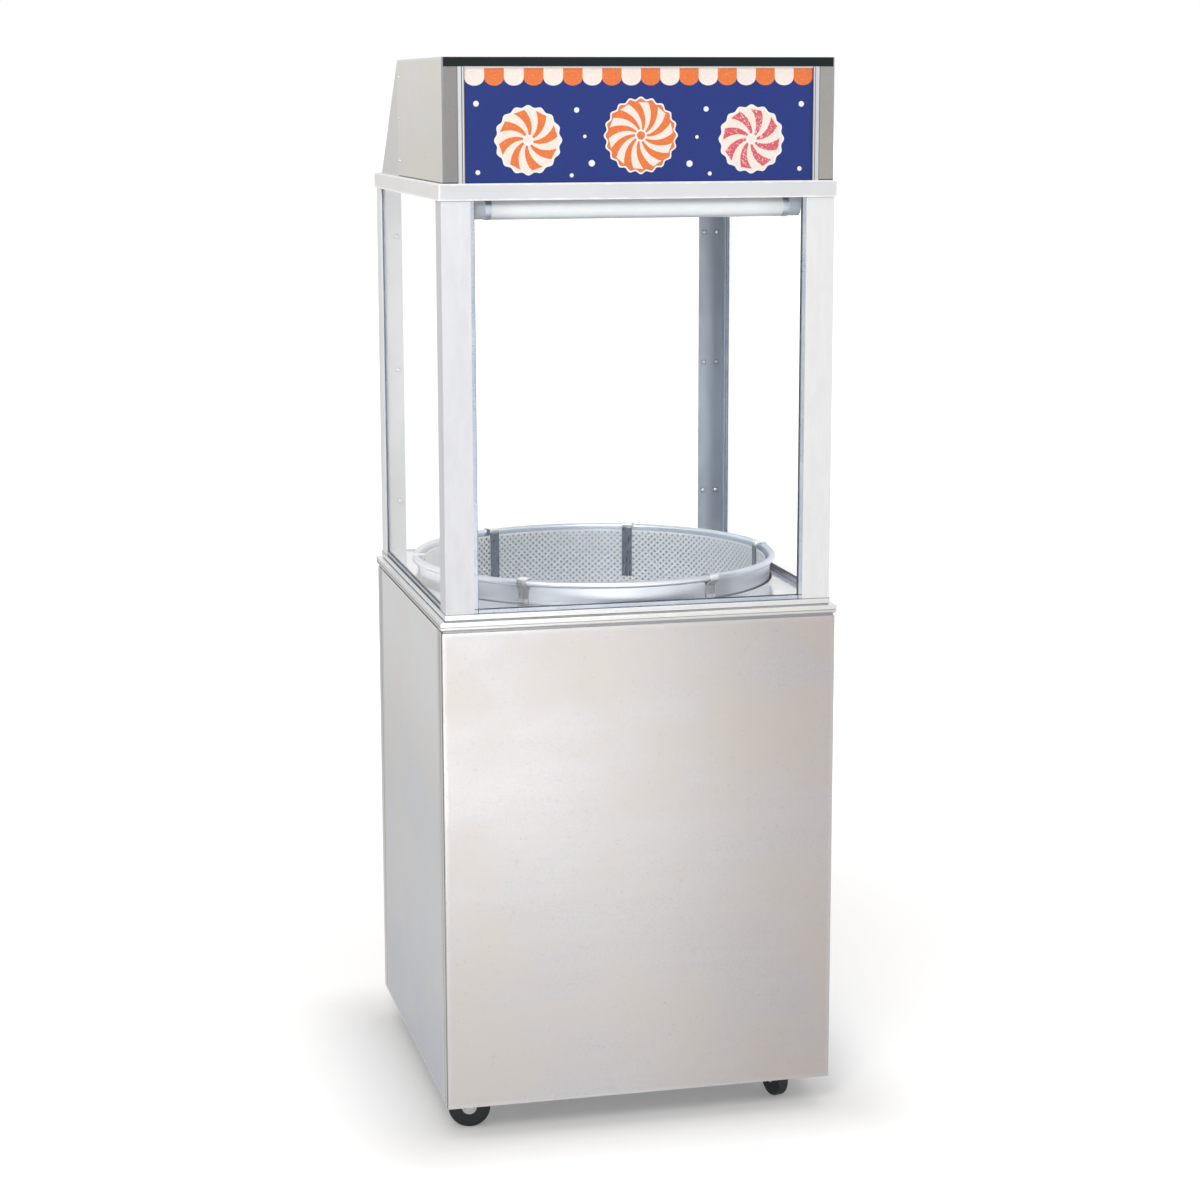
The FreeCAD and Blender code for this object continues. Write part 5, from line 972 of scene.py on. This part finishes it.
# ---------------------------------------------------------------- studio
# A plain white floor that keeps the machine's soft shadow and carries a painted shadow close round
# the cabinet, one lamp over the paper in front, one high ahead and to the left, one overhead, and
# an even white surround.

floor_mesh = bpy.data.meshes.new("studio floor")
FAR = 150
floor_mesh.from_pydata([(-FAR, -FAR, 0), (FAR, -FAR, 0), (FAR, FAR, 0), (-FAR, FAR, 0)], [],
                       [(0, 1, 2, 3)])
floor = bpy.data.objects.new("studio_floor", floor_mesh)
bpy.context.scene.collection.objects.link(floor)
finish, tree, shader, place = bench("studio paper")
shader.inputs["Base Color"].default_value = (0.81, 0.80, 0.79, 1)
shader.inputs["Roughness"].default_value = 0.9
shader.inputs["Specular IOR Level"].default_value = 0.0


def seen_rays(tree):
    """1 where the eye looks, straight or through glass, 0 where light is gathered."""
    ray = tree.nodes.new("ShaderNodeLightPath")
    return calc(tree, "MAXIMUM", ray.outputs["Is Camera Ray"], ray.outputs["Is Transmission Ray"])


# To the eye the paper whitens with distance; close beside the cabinet it glows less, so that its
# own shadow stays and a painted shadow is laid round the cabinet's foot.
whiteness_and_painted_shadow = eased(tree, across(tree, "LENGTH", place), 0.6, 4.0, 0.38, 0.85)
CABINET_HALF = 0.36
outside = across(tree, "SUBTRACT", across(tree, "ABSOLUTE", place),
                 (CABINET_HALF, CABINET_HALF, 1.0))
beside = across(tree, "LENGTH", across(tree, "MAXIMUM", outside, (0, 0, 0)))
whiteness_and_painted_shadow = calc(tree, "MULTIPLY", whiteness_and_painted_shadow, eased(tree, beside, 0.0, 0.22, 0.45, 1.0))
shader.inputs["Emission Color"].default_value = (1, 1, 1, 1)
feed(tree, shader.inputs["Emission Strength"], eased(tree, seen_rays(tree), 0, 1, 0.10, whiteness_and_painted_shadow))
floor_mesh.materials.append(finish)

world = bpy.data.worlds.new("studio")
bpy.context.scene.world = world
world.use_nodes = True
tree = world.node_tree
surround = tree.nodes["Background"]
surround.inputs[0].default_value = (1, 1, 1, 1)
mirrored = tree.nodes.new("ShaderNodeLightPath").outputs["Is Glossy Ray"]
gathered = eased(tree, mirrored, 0, 1, 0.62, 0.95)
feed(tree, surround.inputs[1], eased(tree, seen_rays(tree), 0, 1, gathered, 1.0))


def studio_lamp(name, spot, aim, width, height, watts):
    """A soft white area lamp turned towards a place."""
    lamp = bpy.data.lights.new(name, "AREA")
    lamp.shape, lamp.size, lamp.size_y, lamp.energy = "RECTANGLE", width, height, watts
    holder = bpy.data.objects.new(name, lamp)
    holder.location = spot
    holder.rotation_euler = (Vector(aim) - Vector(spot)).to_track_quat("-Z", "Y").to_euler()
    bpy.context.scene.collection.objects.link(holder)


studio_lamp("paper lamp", (0.0, -4.3, 0.75), (0.0, -4.3, 0.0), 0.7, 2.4, 38)
studio_lamp("high lamp", (-1.6, -4.0, 3.6), (0, 0, 1.0), 1.6, 1.6, 82)
studio_lamp("top lamp", (0.3, -0.4, 4.6), (0, 0, 0), 3.0, 3.0, 18)

# ---------------------------------------------------------------- camera
# Standing ahead and to the left of the machine, a little above its case, looking slightly down.

YAW, PITCH, ROLL, EYE_AT = -0.2359, 0.1859, 0.002, (-1.15967, -4.86591, 1.84538)
side_way = Vector((math.cos(YAW), math.sin(YAW), 0))
ahead = Vector((-math.sin(YAW) * math.cos(PITCH), math.cos(YAW) * math.cos(PITCH),
                -math.sin(PITCH)))
down = ahead.cross(side_way)
across_view = side_way * math.cos(ROLL) + down * math.sin(ROLL)
down_view = down * math.cos(ROLL) - side_way * math.sin(ROLL)
lens = bpy.data.cameras.new("camera")
lens.sensor_width, lens.lens = 36.0, 81.09
lens.clip_end = 200.0
camera = bpy.data.objects.new("camera", lens)
turned = Matrix((across_view, -down_view, -ahead)).transposed().to_4x4()
camera.matrix_world = Matrix.Translation(EYE_AT) @ turned
bpy.context.scene.collection.objects.link(camera)
bpy.context.scene.camera = camera
bpy.context.scene.view_settings.view_transform = "Standard"
